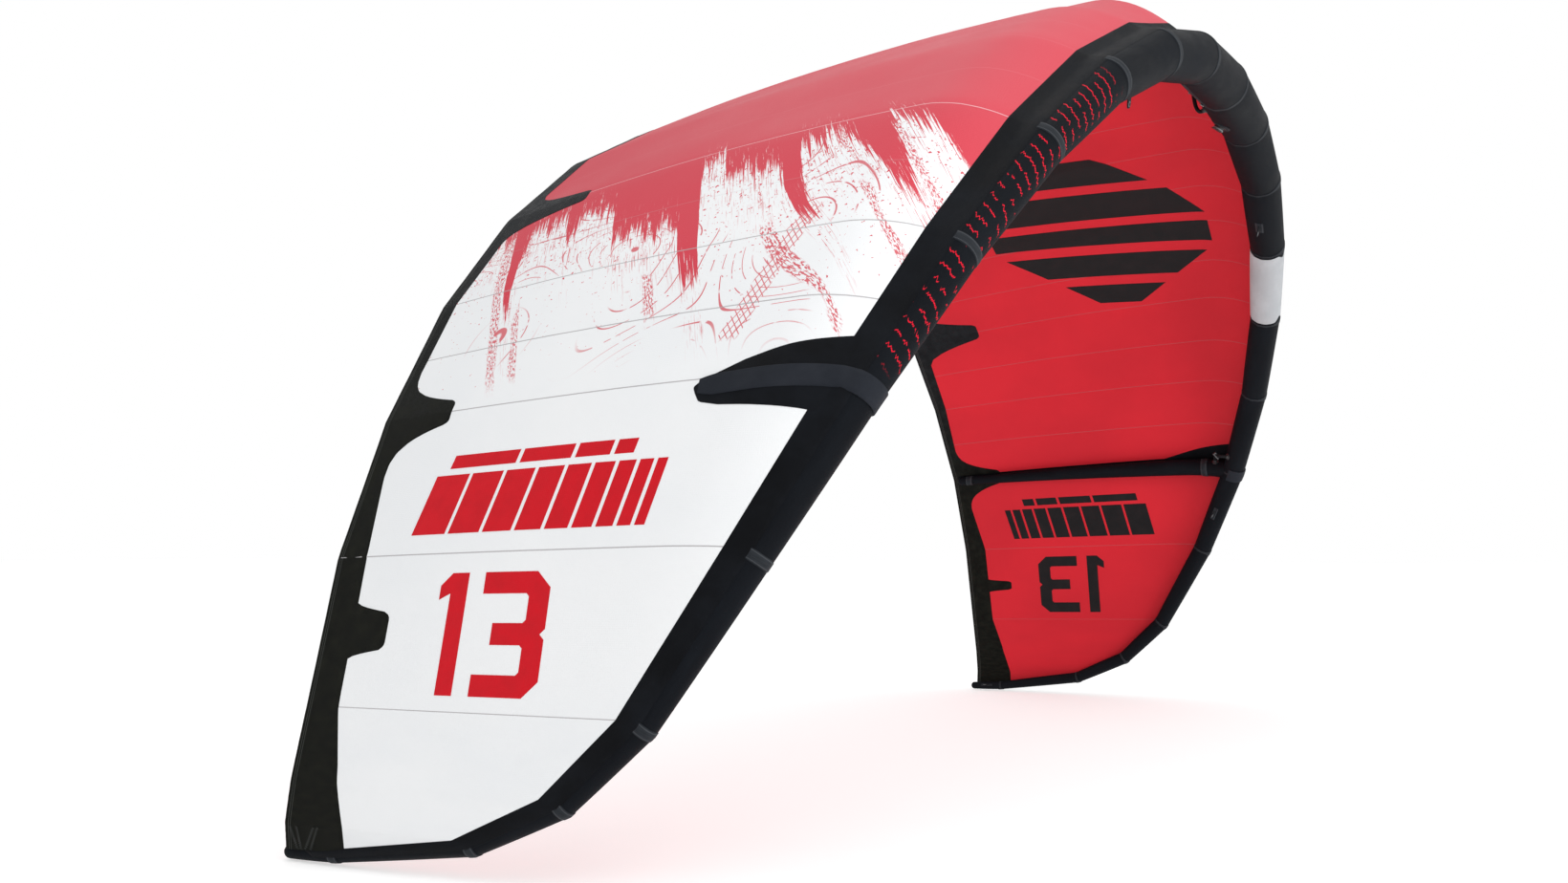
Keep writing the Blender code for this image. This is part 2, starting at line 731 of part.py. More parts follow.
def clip(name, home):
    """A pinch clip closed on the hose: the body's lower jaw, and a lever that hinges on the body's pin."""
    pivot_y, pivot_z = -0.0145, 0.0049
    base = box_mesh("clip_base", (-0.007, -0.0175, -0.0066), (0.007, 0.0175, -0.0036))
    body = add_object(f"clip_body_{name}", base, "moulded_black", home)
    for label, low in (("left", -0.0072), ("right", 0.0052)):
        ear = box_mesh(f"clip_ear_{label}", (low, -0.0178, -0.0060), (low + 0.0020, -0.0115, 0.0080))
        boolean(body, add_cutter(f"clip_ear_{label}_{name}", ear, home), "UNION")
    pin = rod_mesh("clip_pin", 0.0010, (-0.0062, pivot_y, pivot_z), (0.0062, pivot_y, pivot_z))
    boolean(body, add_cutter(f"clip_pin_{name}", pin, home), "UNION")
    stop = box_mesh("clip_stop", (-0.0045, 0.0140, -0.0060), (0.0045, 0.0170, 0.0030))
    boolean(body, add_cutter(f"clip_stop_{name}", stop, home), "UNION")

    hinge = frame_empty(f"clip_hinge_{name}", Matrix.Translation((0, pivot_y, pivot_z)), home)
    jaw = box_mesh("clip_jaw", (-0.0045, 0, 0.0036 - pivot_z), (0.0045, 0.0190 - pivot_y, 0.0062 - pivot_z))
    lever = add_object(f"clip_lever_{name}", jaw, "moulded_grey", hinge)
    knuckle = rod_mesh("clip_knuckle", 0.0028, (-0.0045, 0, 0), (0.0045, 0, 0), 24)
    boolean(lever, add_cutter(f"clip_knuckle_{name}", knuckle, hinge), "UNION")
    bore = rod_mesh("clip_bore", 0.0014, (-0.01, 0, 0), (0.01, 0, 0), 24)
    boolean(lever, add_cutter(f"clip_bore_{name}", bore, hinge), "DIFFERENCE")


def line_tab(name, station, vertex, side):
    """A flat webbing tab with an eye, standing off the leading edge. Bridle and rear lines tie on here."""
    half = TAB_WIDTH / 2
    outline = bpy.data.curves.new(name, "CURVE")
    outline.dimensions = "2D"
    outline.fill_mode = "BOTH"
    outline.extrude = TAB_THICK / 2
    border = [(-half, 0.0), (half, 0.0)]
    for k in range(9):
        turn = math.pi * k / 8
        border.append((half * math.cos(turn), TAB_HEIGHT - half + half * math.sin(turn)))
    eye = []
    for k in range(12):
        turn = 2 * math.pi * k / 12
        eye.append((TAB_EYE * math.cos(turn), TAB_HEIGHT - half + TAB_EYE * math.sin(turn)))
    for loop in (border, eye):
        spline = outline.splines.new("POLY")
        spline.points.add(len(loop) - 1)
        for point, (x, y) in zip(spline.points, loop):
            point.co = (x, y, 0.0, 1.0)
        spline.use_cyclic_u = True
    place = facet_frame(station, vertex, 0.001, side)
    stand = Matrix.Rotation(math.radians(90), 4, "X")
    obj = bpy.data.objects.new(name, outline)
    outline.materials.append(material("webbing_grey"))
    KITE.objects.link(obj)
    obj.parent = FRAME
    obj.matrix_local = place @ stand


def line_tabs():
    for side, sign in SIDES.items():
        line_tab(f"bridle_tab_{side}_1", BRIDLE_STATIONS[0], TAB_FACET, sign)
        line_tab(f"bridle_tab_{side}_2", BRIDLE_STATIONS[1], TAB_FACET, sign)
        line_tab(f"rear_tab_{side}", REAR_STATION, TAB_FACET, sign)


def centre_on_footprint():
    """Moves the frame so that the footprint's middle is the origin and the lowest point is at z = 0."""
    bpy.context.view_layer.update()
    graph = bpy.context.evaluated_depsgraph_get()
    low, high = Vector((9, 9, 9)), Vector((-9, -9, -9))
    for obj in KITE.objects:
        if obj.type == "EMPTY":
            continue
        shape = obj.evaluated_get(graph)
        for vertex in shape.to_mesh().vertices:
            point = shape.matrix_world @ vertex.co
            for axis in range(3):
                low[axis] = min(low[axis], point[axis])
                high[axis] = max(high[axis], point[axis])
        shape.to_mesh_clear()
    FRAME.location = (-(low.x + high.x) / 2, -(low.y + high.y) / 2, -low.z)
    bpy.context.view_layer.update()


clear_scene()
KITE = new_collection("kitesurf_kite")
CUTTERS = new_collection("cutters")
CUTTERS.hide_render = True
SEAMS = seam_list()
FRAME = frame_empty("kite_frame", Matrix(), None)

leading_edge_sleeves()
valve(leading_edge_bladder())
zip_and_slider()
struts()
canopy_panels()
trailing_bands()
patches()
strut_straps()
hoses_and_clips()
line_tabs()
centre_on_footprint()
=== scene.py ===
"""The looks of a 13 square metre inflatable kitesurf kite, built round its CAD frame.

X is the span, Y runs back from the leading edge, and Z is up. Seam 0 of the leading edge is on the centre
line and seam 12 is the tip. A station counts seams out from the centre, so 6.5 is half way along the panel
after seam 6. A signed station is negative on the left half. A vertex counts sixteenths round the tube: 0 is
its back, 4 its outer side, 8 its front and 12 its inner side.
"""

import json
import math

import bmesh
import bpy
from mathutils import Matrix, Vector, noise


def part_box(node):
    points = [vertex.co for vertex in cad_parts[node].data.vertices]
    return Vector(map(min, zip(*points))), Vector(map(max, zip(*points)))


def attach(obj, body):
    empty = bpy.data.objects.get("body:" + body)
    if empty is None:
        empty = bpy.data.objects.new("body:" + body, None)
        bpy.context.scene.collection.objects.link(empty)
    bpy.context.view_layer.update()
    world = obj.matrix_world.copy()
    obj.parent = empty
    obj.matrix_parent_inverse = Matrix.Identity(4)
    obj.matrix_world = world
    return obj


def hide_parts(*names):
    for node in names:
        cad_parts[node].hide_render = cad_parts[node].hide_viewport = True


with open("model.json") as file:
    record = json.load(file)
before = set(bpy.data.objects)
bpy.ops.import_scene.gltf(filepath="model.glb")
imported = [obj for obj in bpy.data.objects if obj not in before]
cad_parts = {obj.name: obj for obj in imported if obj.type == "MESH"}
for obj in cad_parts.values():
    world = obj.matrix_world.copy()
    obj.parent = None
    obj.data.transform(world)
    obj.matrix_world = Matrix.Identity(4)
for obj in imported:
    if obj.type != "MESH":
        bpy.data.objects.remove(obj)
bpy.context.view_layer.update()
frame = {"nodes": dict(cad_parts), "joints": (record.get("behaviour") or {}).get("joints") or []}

# The leading edge, as in the CAD part.
PANEL_LENGTHS = (0.4745,) * 8 + (0.285, 0.285, 0.445, 0.155)
PANEL = PANEL_LENGTHS[0]
ARCH_PANELS = 8
LEAN_FIRST, LEAN_STEP = 4.25, 10.3
SWEEP_LINEAR, SWEEP_SQUARE = 2.24, 0.31
TIP_LEANS = (84.0, 88.0, 90.0, 90.0)
TIP_SWEEPS = (47.0, 66.0, 82.0, 88.0)
TUBE_RADIUS, TUBE_TAPER = 0.096, 0.0155
TUBE_SIDES = 16
SLEEVE_SEAMS = {"left": (0, 2, 4, 6, 8, 10, 12), "right": (0, 1, 2, 4, 6, 8, 10, 12)}

# The canopy, as in the CAD part.
TRAILING_EDGE_Y = 1.945
TRAILING_BOW = 0.030
TRAILING_INSET = 0.040
TIP_LIFT_FROM, TIP_LIFT_TO = 8.0, 10.0
ATTACH_VERTEX = 3
ATTACH_GAP = 0.006
CAMBERS = ((0.0, 0.112), (2.0, 0.068), (4.0, 0.065), (6.0, 0.035), (8.0, 0.0), (12.0, 0.0))
CAMBER_PEAK = 0.16
CANOPY_END = 10.95
BAND_END = 11.7

# The struts, as in the CAD part.
STRUT_SEAM = 6
STRUT_RADIUS_FRONT, STRUT_RADIUS_REAR = 0.045, 0.022
STRUT_TAIL = 0.05

# Visible cloth.
CLOTH_HALF = 0.0006
WAVE_HEIGHT, PUCKER_DEPTH, PUCKER_REACH = 0.0012, 0.0007, 0.020
STILL_EDGE = 0.05
BAND_EDGE_HALF, BAND_HALF = 0.0010, 0.0016
HEM_HALF, HEM_REACH, HEM_POINTS = 0.0027, 0.0065, 10
BAND_DEPTHS = (
    (0.0, 0.070), (3.4, 0.072), (4.9, 0.060), (5.6, 0.052), (6.4, 0.072),
    (7.0, 0.112), (8.0, 0.116), (8.8, 0.155), (10.0, 0.195), (12.0, 0.205),
)
AIRFRAME = "airframe"
SIDES = {"left": -1.0, "right": 1.0}

SLEEVE_LOW, SLEEVE_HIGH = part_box("le_sleeve_right_1")
ORIGIN = Vector((0.0, SLEEVE_LOW.y + TUBE_RADIUS, SLEEVE_HIGH.z - TUBE_RADIUS))


# Where things are.


def smooth(t):
    t = min(max(t, 0.0), 1.0)
    return t * t * (3 - 2 * t)


def spread(first, last, count):
    return [first + (last - first) * k / count for k in range(count + 1)]


def turns(count):
    """Angles all the way round, the last one short of the first."""
    return [2 * math.pi * k / count for k in range(count)]


def side_of(signed):
    return -1.0 if signed < 0 else 1.0


def both_halves(right):
    """Stations from the left to the right, given those of the right half from the centre out."""
    return [-i for i in right[:0:-1]] + right


def panel_angles(k):
    """(lean, sweep) of panel k, in radians: its fall below level from the front, and its turn towards +Y."""
    if k < ARCH_PANELS:
        lean, sweep = LEAN_FIRST + LEAN_STEP * k, SWEEP_LINEAR * k + SWEEP_SQUARE * k * k
    else:
        lean, sweep = TIP_LEANS[k - ARCH_PANELS], TIP_SWEEPS[k - ARCH_PANELS]
    return math.radians(lean), math.radians(sweep)


def panel_direction(k):
    lean, sweep = panel_angles(k)
    return Vector((math.cos(sweep) * math.cos(lean), math.sin(sweep), -math.cos(sweep) * math.sin(lean)))


def seam_list():
    """The seams on the right half: centre, lean, along, outward, back, radius and arc length of each."""
    seams = []
    centre = ORIGIN.copy()
    travelled = 0.0
    last = len(PANEL_LENGTHS)
    for j in range(last + 1):
        before = max(j - 1, 0)
        after = min(j, last - 1)
        along, lean = Vector((1, 0, 0)), 0.0
        if j:
            along = (panel_direction(before) + panel_direction(after)).normalized()
            lean = (panel_angles(before)[0] + panel_angles(after)[0]) / 2
        outward = Vector((math.sin(lean), 0, math.cos(lean)))
        outward = (outward - along * outward.dot(along)).normalized()
        back = outward.cross(along)
        radius = TUBE_RADIUS - TUBE_TAPER * travelled
        seams.append((centre.copy(), lean, along, outward, back, radius, travelled))
        if j < last:
            centre += panel_direction(j) * PANEL_LENGTHS[j]
            travelled += PANEL_LENGTHS[j]
    return seams


SEAMS = seam_list()
LAST_SEAM = len(SEAMS) - 1


def mirrored(point, side):
    return Vector((point.x * side, point.y, point.z))


def between(station, value):
    """Linear between the two seams around this station. value(j) gives the value at seam j."""
    j = min(int(station), LAST_SEAM - 1)
    part = station - j
    return value(j) * (1 - part) + value(j + 1) * part


def arc_at(station):
    return between(station, lambda j: SEAMS[j][6])


def seam_ring_point(j, vertex, extra):
    centre, _, _, outward, back, radius, _ = SEAMS[j]
    turn = 2 * math.pi * vertex / TUBE_SIDES
    return centre + (radius + extra) * (math.cos(turn) * back + math.sin(turn) * outward)


def tube_point(station, vertex, extra=0.0, side=1.0):
    """A point on the tube, extra metres off its surface."""
    return mirrored(between(station, lambda j: seam_ring_point(j, vertex, extra)), side)


def outward_at(station):
    """The arch's outward direction on the right half, seen from the front."""
    lean = between(station, lambda j: SEAMS[j][1])
    return Vector((math.sin(lean), 0, math.cos(lean)))


def attach_point(station):
    return tube_point(station, ATTACH_VERTEX, ATTACH_GAP)


def trailing_y(station):
    return ORIGIN.y + TRAILING_EDGE_Y - TRAILING_BOW * min(station / STRUT_SEAM, 1.0) ** 2


def trailing_point(station):
    centre = between(station, lambda j: SEAMS[j][0])
    inset = TRAILING_INSET * math.sin(math.pi * min(station, 9.0) / 9.0)
    over_tube = min(max((station - TIP_LIFT_FROM) / (TIP_LIFT_TO - TIP_LIFT_FROM), 0.0), 1.0)
    point = centre - outward_at(station) * inset + (attach_point(station) - centre) * over_tube
    point.y = trailing_y(station)
    return point


def camber_shape(t):
    """A rib's rise over its chord line, 1 at its peak."""
    peak = CAMBER_PEAK
    if t < peak:
        return (2 * peak * t - t * t) / peak**2
    return (1 - 2 * peak + 2 * peak * t - t * t) / (1 - peak) ** 2


def from_table(table, station):
    """Linear between the (station, value) pairs of a table."""
    for (first, start), (second, end) in zip(table, table[1:]):
        if station <= second:
            return start + (end - start) * (station - first) / (second - first)
    return table[-1][1]


def camber_at(station):
    """A rib's peak rise as a share of its chord, eased over the crown so that no ridge shows there."""
    crown, quarter = CAMBERS[0][1], CAMBERS[1][1]
    if station < CAMBERS[1][0]:
        return crown + (quarter - crown) * smooth(station / CAMBERS[1][0])
    return from_table(CAMBERS, station)


def canopy_point(station, y, lift=0.0, side=1.0):
    """The middle of the cloth at this station and y, or lift metres outside it. Station is not negative."""
    front = attach_point(station)
    rear = trailing_point(station)
    chord = rear.y - front.y
    t = min(max((y - front.y) / chord, 0.0), 1.0)
    point = front.lerp(rear, t)
    point += outward_at(station) * (camber_at(station) * chord * camber_shape(t) + lift)
    point.y = y
    return mirrored(point, side)


def relief(signed_station, y):
    """Slight unevenness of the taut cloth: slow waves and a faint pucker beside each seam."""
    station = abs(signed_station)
    front = attach_point(station).y
    t = (y - front) / (trailing_y(station) - front)
    slow = noise.noise(Vector((signed_station * 1.3, y * 4.0, 3.7)))
    pitch = 0.5 if station < STRUT_SEAM else 1.0
    away = abs(station / pitch - round(station / pitch)) * pitch * PANEL
    uneven = 0.6 + noise.noise(Vector((signed_station * 3.0, y * 30.0, 1.0)))
    pucker = math.exp(-((away / PUCKER_REACH) ** 2)) * uneven
    still = smooth(t / STILL_EDGE) * smooth((1.0 - t) / STILL_EDGE)
    return (WAVE_HEIGHT * slow - PUCKER_DEPTH * pucker) * still


def cloth(signed_station, y, lift=0.0):
    """A point of the cloth as it lies, or lift metres outside it."""
    lifted = lift + relief(signed_station, y)
    return canopy_point(abs(signed_station), y, lifted, side_of(signed_station))


def on_cloth(signed_station, y, top, under, metres=None):
    """A cell of a sheet that lies on the canopy, between two heights off its middle."""
    station = abs(signed_station)
    metres = metres or (arc_at(station) * side_of(signed_station), y)
    place = (signed_station, trailing_y(station) - y)
    return cloth(signed_station, y, top), cloth(signed_station, y, under), metres, place


# Mesh helpers. Every sheet carries two UV maps. "Metres" is a place on its cloth. "Station" is the signed
# station and the metres from the trailing edge, or the vertex on a tube.


def finished(name, mesh, finishes, replaced=(), slot=None, body=AIRFRAME):
    for finish in finishes:
        mesh.materials.append(finish)
    obj = bpy.data.objects.new(name, mesh)
    bpy.context.scene.collection.objects.link(obj)
    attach(obj, body)
    if replaced:
        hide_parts(*replaced)
    return obj


def mesh_of(name, points, faces, slots, metres, stations, sharp=45):
    """A smooth-shaded mesh. metres and stations hold one UV pair per point."""
    mesh = bpy.data.meshes.new(name)
    mesh.from_pydata(points, [], faces)
    mesh.polygons.foreach_set("material_index", slots)
    for label, values in (("Metres", metres), ("Station", stations)):
        layer = mesh.uv_layers.new(name=label)
        flat = []
        for loop in mesh.loops:
            flat.extend(values[loop.vertex_index])
        layer.data.foreach_set("uv", flat)
    form = bmesh.new()
    form.from_mesh(mesh)
    bmesh.ops.recalc_face_normals(form, faces=form.faces)
    form.to_mesh(mesh)
    form.free()
    mesh.shade_smooth()
    mesh.set_sharp_from_angle(angle=math.radians(sharp))
    return mesh


def shell(name, rows, finishes, ring=False, sharp=45, **kept):
    """A thin closed body from rows of (outer point, inner point, metres, station).

    finishes holds the outer face's material and, if there is a second, the inner face's.
    """
    count = len(rows[0])
    size = len(rows) * count
    points = [cell[0] for row in rows for cell in row] + [cell[1] for row in rows for cell in row]
    metres = [cell[2] for row in rows for cell in row] * 2
    stations = [cell[3] for row in rows for cell in row] * 2
    span = count if ring else count - 1
    faces, slots = [], []
    inner_slot = len(finishes) - 1
    for r in range(len(rows) - 1):
        for k in range(span):
            a = r * count + k
            b = r * count + (k + 1) % count
            c, d = b + count, a + count
            faces.append((a, b, c, d))
            faces.append((d + size, c + size, b + size, a + size))
            slots += [0, inner_slot]
    for r in (0, len(rows) - 1):
        for k in range(span):
            a = r * count + k
            b = r * count + (k + 1) % count
            faces.append((a, a + size, b + size, b))
            slots.append(0)
    if not ring:
        for k in (0, count - 1):
            for r in range(len(rows) - 1):
                a = r * count + k
                faces.append((a, a + count, a + count + size, a + size))
                slots.append(0)
    return finished(name, mesh_of(name, points, faces, slots, metres, stations, sharp), finishes, **kept)


def loft(name, rings, finishes, sharp=45, **kept):
    """A solid from closed rings of (point, metres, station), capped flat at both ends."""
    count = len(rings[0])
    points = [cell[0] for row in rings for cell in row]
    metres = [cell[1] for row in rings for cell in row]
    stations = [cell[2] for row in rings for cell in row]
    faces = []
    for r in range(len(rings) - 1):
        for k in range(count):
            a = r * count + k
            b = r * count + (k + 1) % count
            faces.append((a, b, b + count, a + count))
    faces.append(tuple(range(count)))
    faces.append(tuple((len(rings) - 1) * count + k for k in range(count)))
    mesh = mesh_of(name, points, faces, [0] * len(faces), metres, stations, sharp)
    return finished(name, mesh, finishes, **kept)


# Material helpers.


class Graph:
    """A material's node graph, written as short calls. Inputs are numbers or other nodes' sockets."""

    def __init__(self, name):
        self.material = bpy.data.materials.new(name)
        self.material.use_nodes = True
        self.tree = self.material.node_tree
        self.shader = self.tree.nodes["Principled BSDF"]

    def add(self, kind, **settings):
        node = self.tree.nodes.new(kind)
        for key, value in settings.items():
            setattr(node, key, value)
        return node

    def put(self, socket, value):
        if isinstance(value, bpy.types.NodeSocket):
            self.tree.links.new(value, socket)
        elif hasattr(value, "__len__") and len(value) == 3 and socket.type == "RGBA":
            socket.default_value = (*value, 1.0)
        else:
            socket.default_value = value

    def calc(self, operation, a, b=0.0):
        node = self.add("ShaderNodeMath", operation=operation)
        self.put(node.inputs[0], a)
        self.put(node.inputs[1], b)
        return node.outputs[0]

    def plus(self, a, b):
        return self.calc("ADD", a, b)

    def minus(self, a, b):
        return self.calc("SUBTRACT", a, b)

    def times(self, a, b):
        return self.calc("MULTIPLY", a, b)

    def rise(self, value, low, high, start=0.0, end=1.0):
        """Runs smoothly from start to end while value goes from low to high."""
        node = self.add("ShaderNodeMapRange", interpolation_type="SMOOTHSTEP")
        for socket, given in zip(node.inputs, (value, low, high, start, end)):
            self.put(socket, given)
        return node.outputs[0]

    def mix(self, share, a, b):
        node = self.add("ShaderNodeMix", data_type="RGBA")
        self.put(node.inputs[0], share)
        self.put(node.inputs[6], a)
        self.put(node.inputs[7], b)
        return node.outputs[2]

    def pair(self, label):
        """The two coordinates of a UV map."""
        node = self.add("ShaderNodeUVMap", uv_map=label)
        parts = self.add("ShaderNodeSeparateXYZ")
        self.put(parts.inputs[0], node.outputs[0])
        return parts.outputs[0], parts.outputs[1]

    def noise(self, x, y, z=0.0, detail=2.0, roughness=0.5):
        """Noise between 0 and 1, one cell per unit of x, y and z."""
        place = self.add("ShaderNodeCombineXYZ")
        for socket, given in zip(place.inputs, (x, y, z)):
            self.put(socket, given)
        node = self.add("ShaderNodeTexNoise")
        self.put(node.inputs["Vector"], place.outputs[0])
        self.put(node.inputs["Scale"], 1.0)
        self.put(node.inputs["Detail"], detail)
        self.put(node.inputs["Roughness"], roughness)
        return node.outputs[0]

    def object_noise(self, scale, detail=2.0):
        place = self.add("ShaderNodeTexCoord")
        node = self.add("ShaderNodeTexNoise")
        self.put(node.inputs["Vector"], place.outputs["Object"])
        self.put(node.inputs["Scale"], scale)
        self.put(node.inputs["Detail"], detail)
        return node.outputs[0]

    def near(self, value, middle, half, soft):
        """1 where value is within half of middle, falling to 0 over soft."""
        away = self.calc("ABSOLUTE", self.minus(value, middle))
        return self.rise(away, half, half + soft, 1.0, 0.0)

    def every(self, value, pitch, half, soft):
        """1 on lines one pitch apart."""
        part = self.calc("PINGPONG", value, pitch / 2)
        return self.rise(part, half, half + soft, 1.0, 0.0)

    def weave(self, u, v, pitch):
        """The height of a plain weave."""
        over = self.calc("SINE", self.times(u, 2 * math.pi / pitch))
        under = self.calc("SINE", self.times(v, 2 * math.pi / pitch))
        return self.times(over, under)

    def bump(self, height, distance, strength=1.0):
        node = self.add("ShaderNodeBump")
        self.put(node.inputs["Height"], height)
        node.inputs["Distance"].default_value = distance
        node.inputs["Strength"].default_value = strength
        self.put(self.shader.inputs["Normal"], node.outputs[0])

    def finish(self, colour, roughness, sheen=0.0, specular=0.5):
        self.put(self.shader.inputs["Base Color"], colour)
        self.put(self.shader.inputs["Roughness"], roughness)
        self.shader.inputs["Sheen Weight"].default_value = sheen
        self.shader.inputs["Specular IOR Level"].default_value = specular
        return self.material


RIPSTOP = 0.006
MARK_ROW = 0.044
WEAVE = 0.0016
RED = (0.630, 0.058, 0.084)
# The next red is a painted sheen: the paler, pinker red where the top light glances off the cloth near the
# crown.
RED_PAINTED_SHEEN = (0.580, 0.076, 0.100)
RED_INNER = (0.640, 0.020, 0.033)
WHITE = (0.84, 0.85, 0.86)
SEAM_GREY = (0.40, 0.38, 0.39)
BLACK_CLOTH = (0.0042, 0.0048, 0.0066)
SLATE = (0.0100, 0.0125, 0.0165)


def ripstop_height(g, u, v):
    lines = g.calc("MAXIMUM", g.every(u, RIPSTOP, 0.0003, 0.0004), g.every(v, RIPSTOP, 0.0003, 0.0004))
    return g.plus(g.times(lines, 0.7), g.times(g.noise(g.times(u, 9), g.times(v, 9), 3.0, 4.0), 1.2))


def panel_seams(g, s):
    """1 on the cloth's sewn seams: each half station between the struts, then stations 7, 8, 9 and 10."""
    close = g.every(s, 0.5, 0.0022, 0.0032)
    wide = g.every(s, 1.0, 0.0022, 0.0032)
    inside = g.rise(s, 6.1, 6.2, 1.0, 0.0)
    outside = g.rise(s, 8.4, 8.5, 1.0, 0.0)
    return g.calc("MAXIMUM", g.times(close, inside), g.times(wide, outside))


DRIP_SLANT, DRIP_SLANT_FRONT = 0.17, 0.28
RED_EDGE = 4.30
# Of each drip: its place, half width, softness and length in stations. A negative one is a gap.
DRIPS = (
    (0.130, 0.008, 0.020, 0.85),
    (0.340, 0.014, 0.015, 0.28),
    (0.655, 0.145, 0.014, 0.40),
    (0.776, 0.030, 0.008, 0.50),
    (0.855, 0.036, 0.010, -0.22),
    (1.110, 0.012, 0.020, 0.58),
    (1.215, 0.070, 0.040, -0.18),
    (1.390, 0.030, 0.030, 0.42),
    (1.500, 0.050, 0.040, -0.20),
)
DOTTED = (0.09, 0.165, 0.64, 1.02, 1.275, 1.44)
HATCH = 1.22


def canopy_outer():
    """Red at the crown, paler there with a painted sheen of the top light, breaking into brush streaks,
    drips and speckle, then white to the tips.
    """
    g = Graph("canopy_outer_print")
    u, v = g.pair("Metres")
    signed, e = g.pair("Station")
    s = g.calc("ABSOLUTE", signed)
    along = g.times(s, PANEL)
    slant = g.rise(e, 1.1, 1.4, DRIP_SLANT, DRIP_SLANT_FRONT)
    q = g.minus(e, g.times(g.minus(s, 4.2), slant))

    wide = g.noise(g.times(q, 4.0), 0.0, 1.0, 1.0)
    spiky = g.noise(g.times(q, 34.0), 0.0, 5.0, 2.0)
    fine = g.noise(g.times(q, 150.0), g.times(s, 1.6), 2.0, 3.0, 0.65)
    edge = g.plus(RED_EDGE, g.times(g.minus(wide, 0.5), 0.3))
    edge = g.plus(edge, g.times(g.rise(spiky, 0.48, 0.78), 0.42))
    edge = g.plus(edge, g.rise(q, 1.52, 1.68, 0.0, 0.45))
    for place, half_width, soft, length in DRIPS:
        edge = g.plus(edge, g.times(g.near(q, place, half_width, soft), length))
    frayed = g.plus(s, g.times(g.minus(fine, 0.5), 0.9))
    solid = g.rise(frayed, g.minus(edge, 0.03), g.plus(edge, 0.03), 1.0, 0.0)

    past = g.minus(s, edge)
    bristle = g.noise(g.times(q, 260.0), g.times(s, 4.5), 9.0, 3.0, 0.7)
    streak = g.times(g.rise(bristle, 0.575, 0.605), g.rise(past, 0.05, 0.75, 1.0, 0.0))
    gaps = g.times(g.rise(bristle, 0.365, 0.38, 1.0, 0.0), g.rise(past, -0.36, -0.04))

    speckle = g.noise(g.times(e, 75.0), g.times(along, 75.0), 1.0, 2.0, 0.6)
    thinning = g.rise(s, 4.4, 6.0, 0.0, 0.10)
    spots = g.rise(speckle, g.plus(0.625, thinning), g.plus(0.645, thinning))
    spots = g.times(spots, g.rise(s, 5.75, 6.0, 1.0, 0.0))

    dotted = 0.0
    for place in DOTTED:
        dotted = g.plus(dotted, g.near(q, place, 0.014, 0.006))
    dots = g.noise(g.times(q, 240.0), g.times(s, 34.0), 14.0, 2.0, 0.6)
    dotted = g.times(dotted, g.rise(dots, 0.50, 0.53))
    dotted = g.times(dotted, g.rise(g.noise(g.times(q, 9.0), g.times(s, 1.7), 16.0, 1.0), 0.44, 0.50))
    dotted = g.times(dotted, g.rise(s, 5.7, 5.95, 1.0, 0.0))

    art = g.noise(g.times(e, 2.1), g.times(along, 2.1), 20.3, 0.0)
    broken = g.noise(g.times(e, 16.0), g.times(along, 16.0), 30.0, 2.0)
    patchy = g.noise(g.times(e, 3.0), g.times(along, 3.0), 44.0, 0.0)
    sketch = g.times(g.every(art, 0.040, 0.0012, 0.0008), g.rise(broken, 0.42, 0.47))
    sketch = g.times(g.times(sketch, g.rise(patchy, 0.44, 0.50)), g.rise(s, 5.55, 5.9, 1.0, 0.0))
    falling = g.minus(e, g.times(along, 0.62))
    rising = g.plus(e, g.times(along, 0.62))
    weave = g.calc("MAXIMUM", g.every(falling, 0.019, 0.0013, 0.001), g.every(rising, 0.023, 0.0013, 0.001))
    leaf = g.near(g.plus(e, g.times(g.minus(s, 5.2), 0.16)), HATCH, 0.030, 0.003)
    hatch = g.times(g.times(weave, leaf), g.times(g.rise(s, 4.78, 4.82), g.rise(s, 5.72, 5.76, 1.0, 0.0)))
    marks = g.calc("MAXIMUM", g.times(sketch, 0.85), g.times(hatch, 0.85))

    paint = g.calc("MAXIMUM", g.times(solid, g.minus(1.0, gaps)), g.calc("MAXIMUM", streak, spots))
    paint = g.calc("MAXIMUM", paint, g.calc("MAXIMUM", g.times(dotted, 0.9), marks))

    tone = g.noise(g.times(e, 2.0), s, 7.0, 3.0)
    # Painted sheen: the red is mixed fully towards the paler red up to about station 3.4, falling to a
    # quarter share by station 5.
    painted_sheen = g.rise(g.plus(s, g.times(g.minus(tone, 0.5), 1.0)), 3.4, 5.0, 1.0, 0.25)
    red = g.mix(painted_sheen, RED, RED_PAINTED_SHEEN)
    white = g.mix(g.rise(tone, 0.35, 0.7, 0.0, 0.35), WHITE, (0.76, 0.785, 0.81))
    colour = g.mix(paint, white, red)
    seam = g.times(panel_seams(g, s), g.rise(s, 3.9, 3.95, 0.12, 1.0))
    seam = g.times(seam, g.minus(1.0, g.times(g.near(s, 4.5, 0.05, 0.02), 0.8)))
    seam_colour = g.mix(g.rise(s, 4.1, 4.3), (0.72, 0.40, 0.43), SEAM_GREY)
    colour = g.mix(g.times(seam, 0.85), colour, seam_colour)
    rough = g.rise(tone, 0.2, 0.8, 0.38, 0.52)
    stitch = g.times(seam, g.calc("SINE", g.times(v, 1400.0)))
    g.bump(g.plus(ripstop_height(g, u, v), g.plus(g.times(seam, 2.5), stitch)), 0.0004, 0.6)
    return g.finish(colour, rough, 0.0, 0.05)


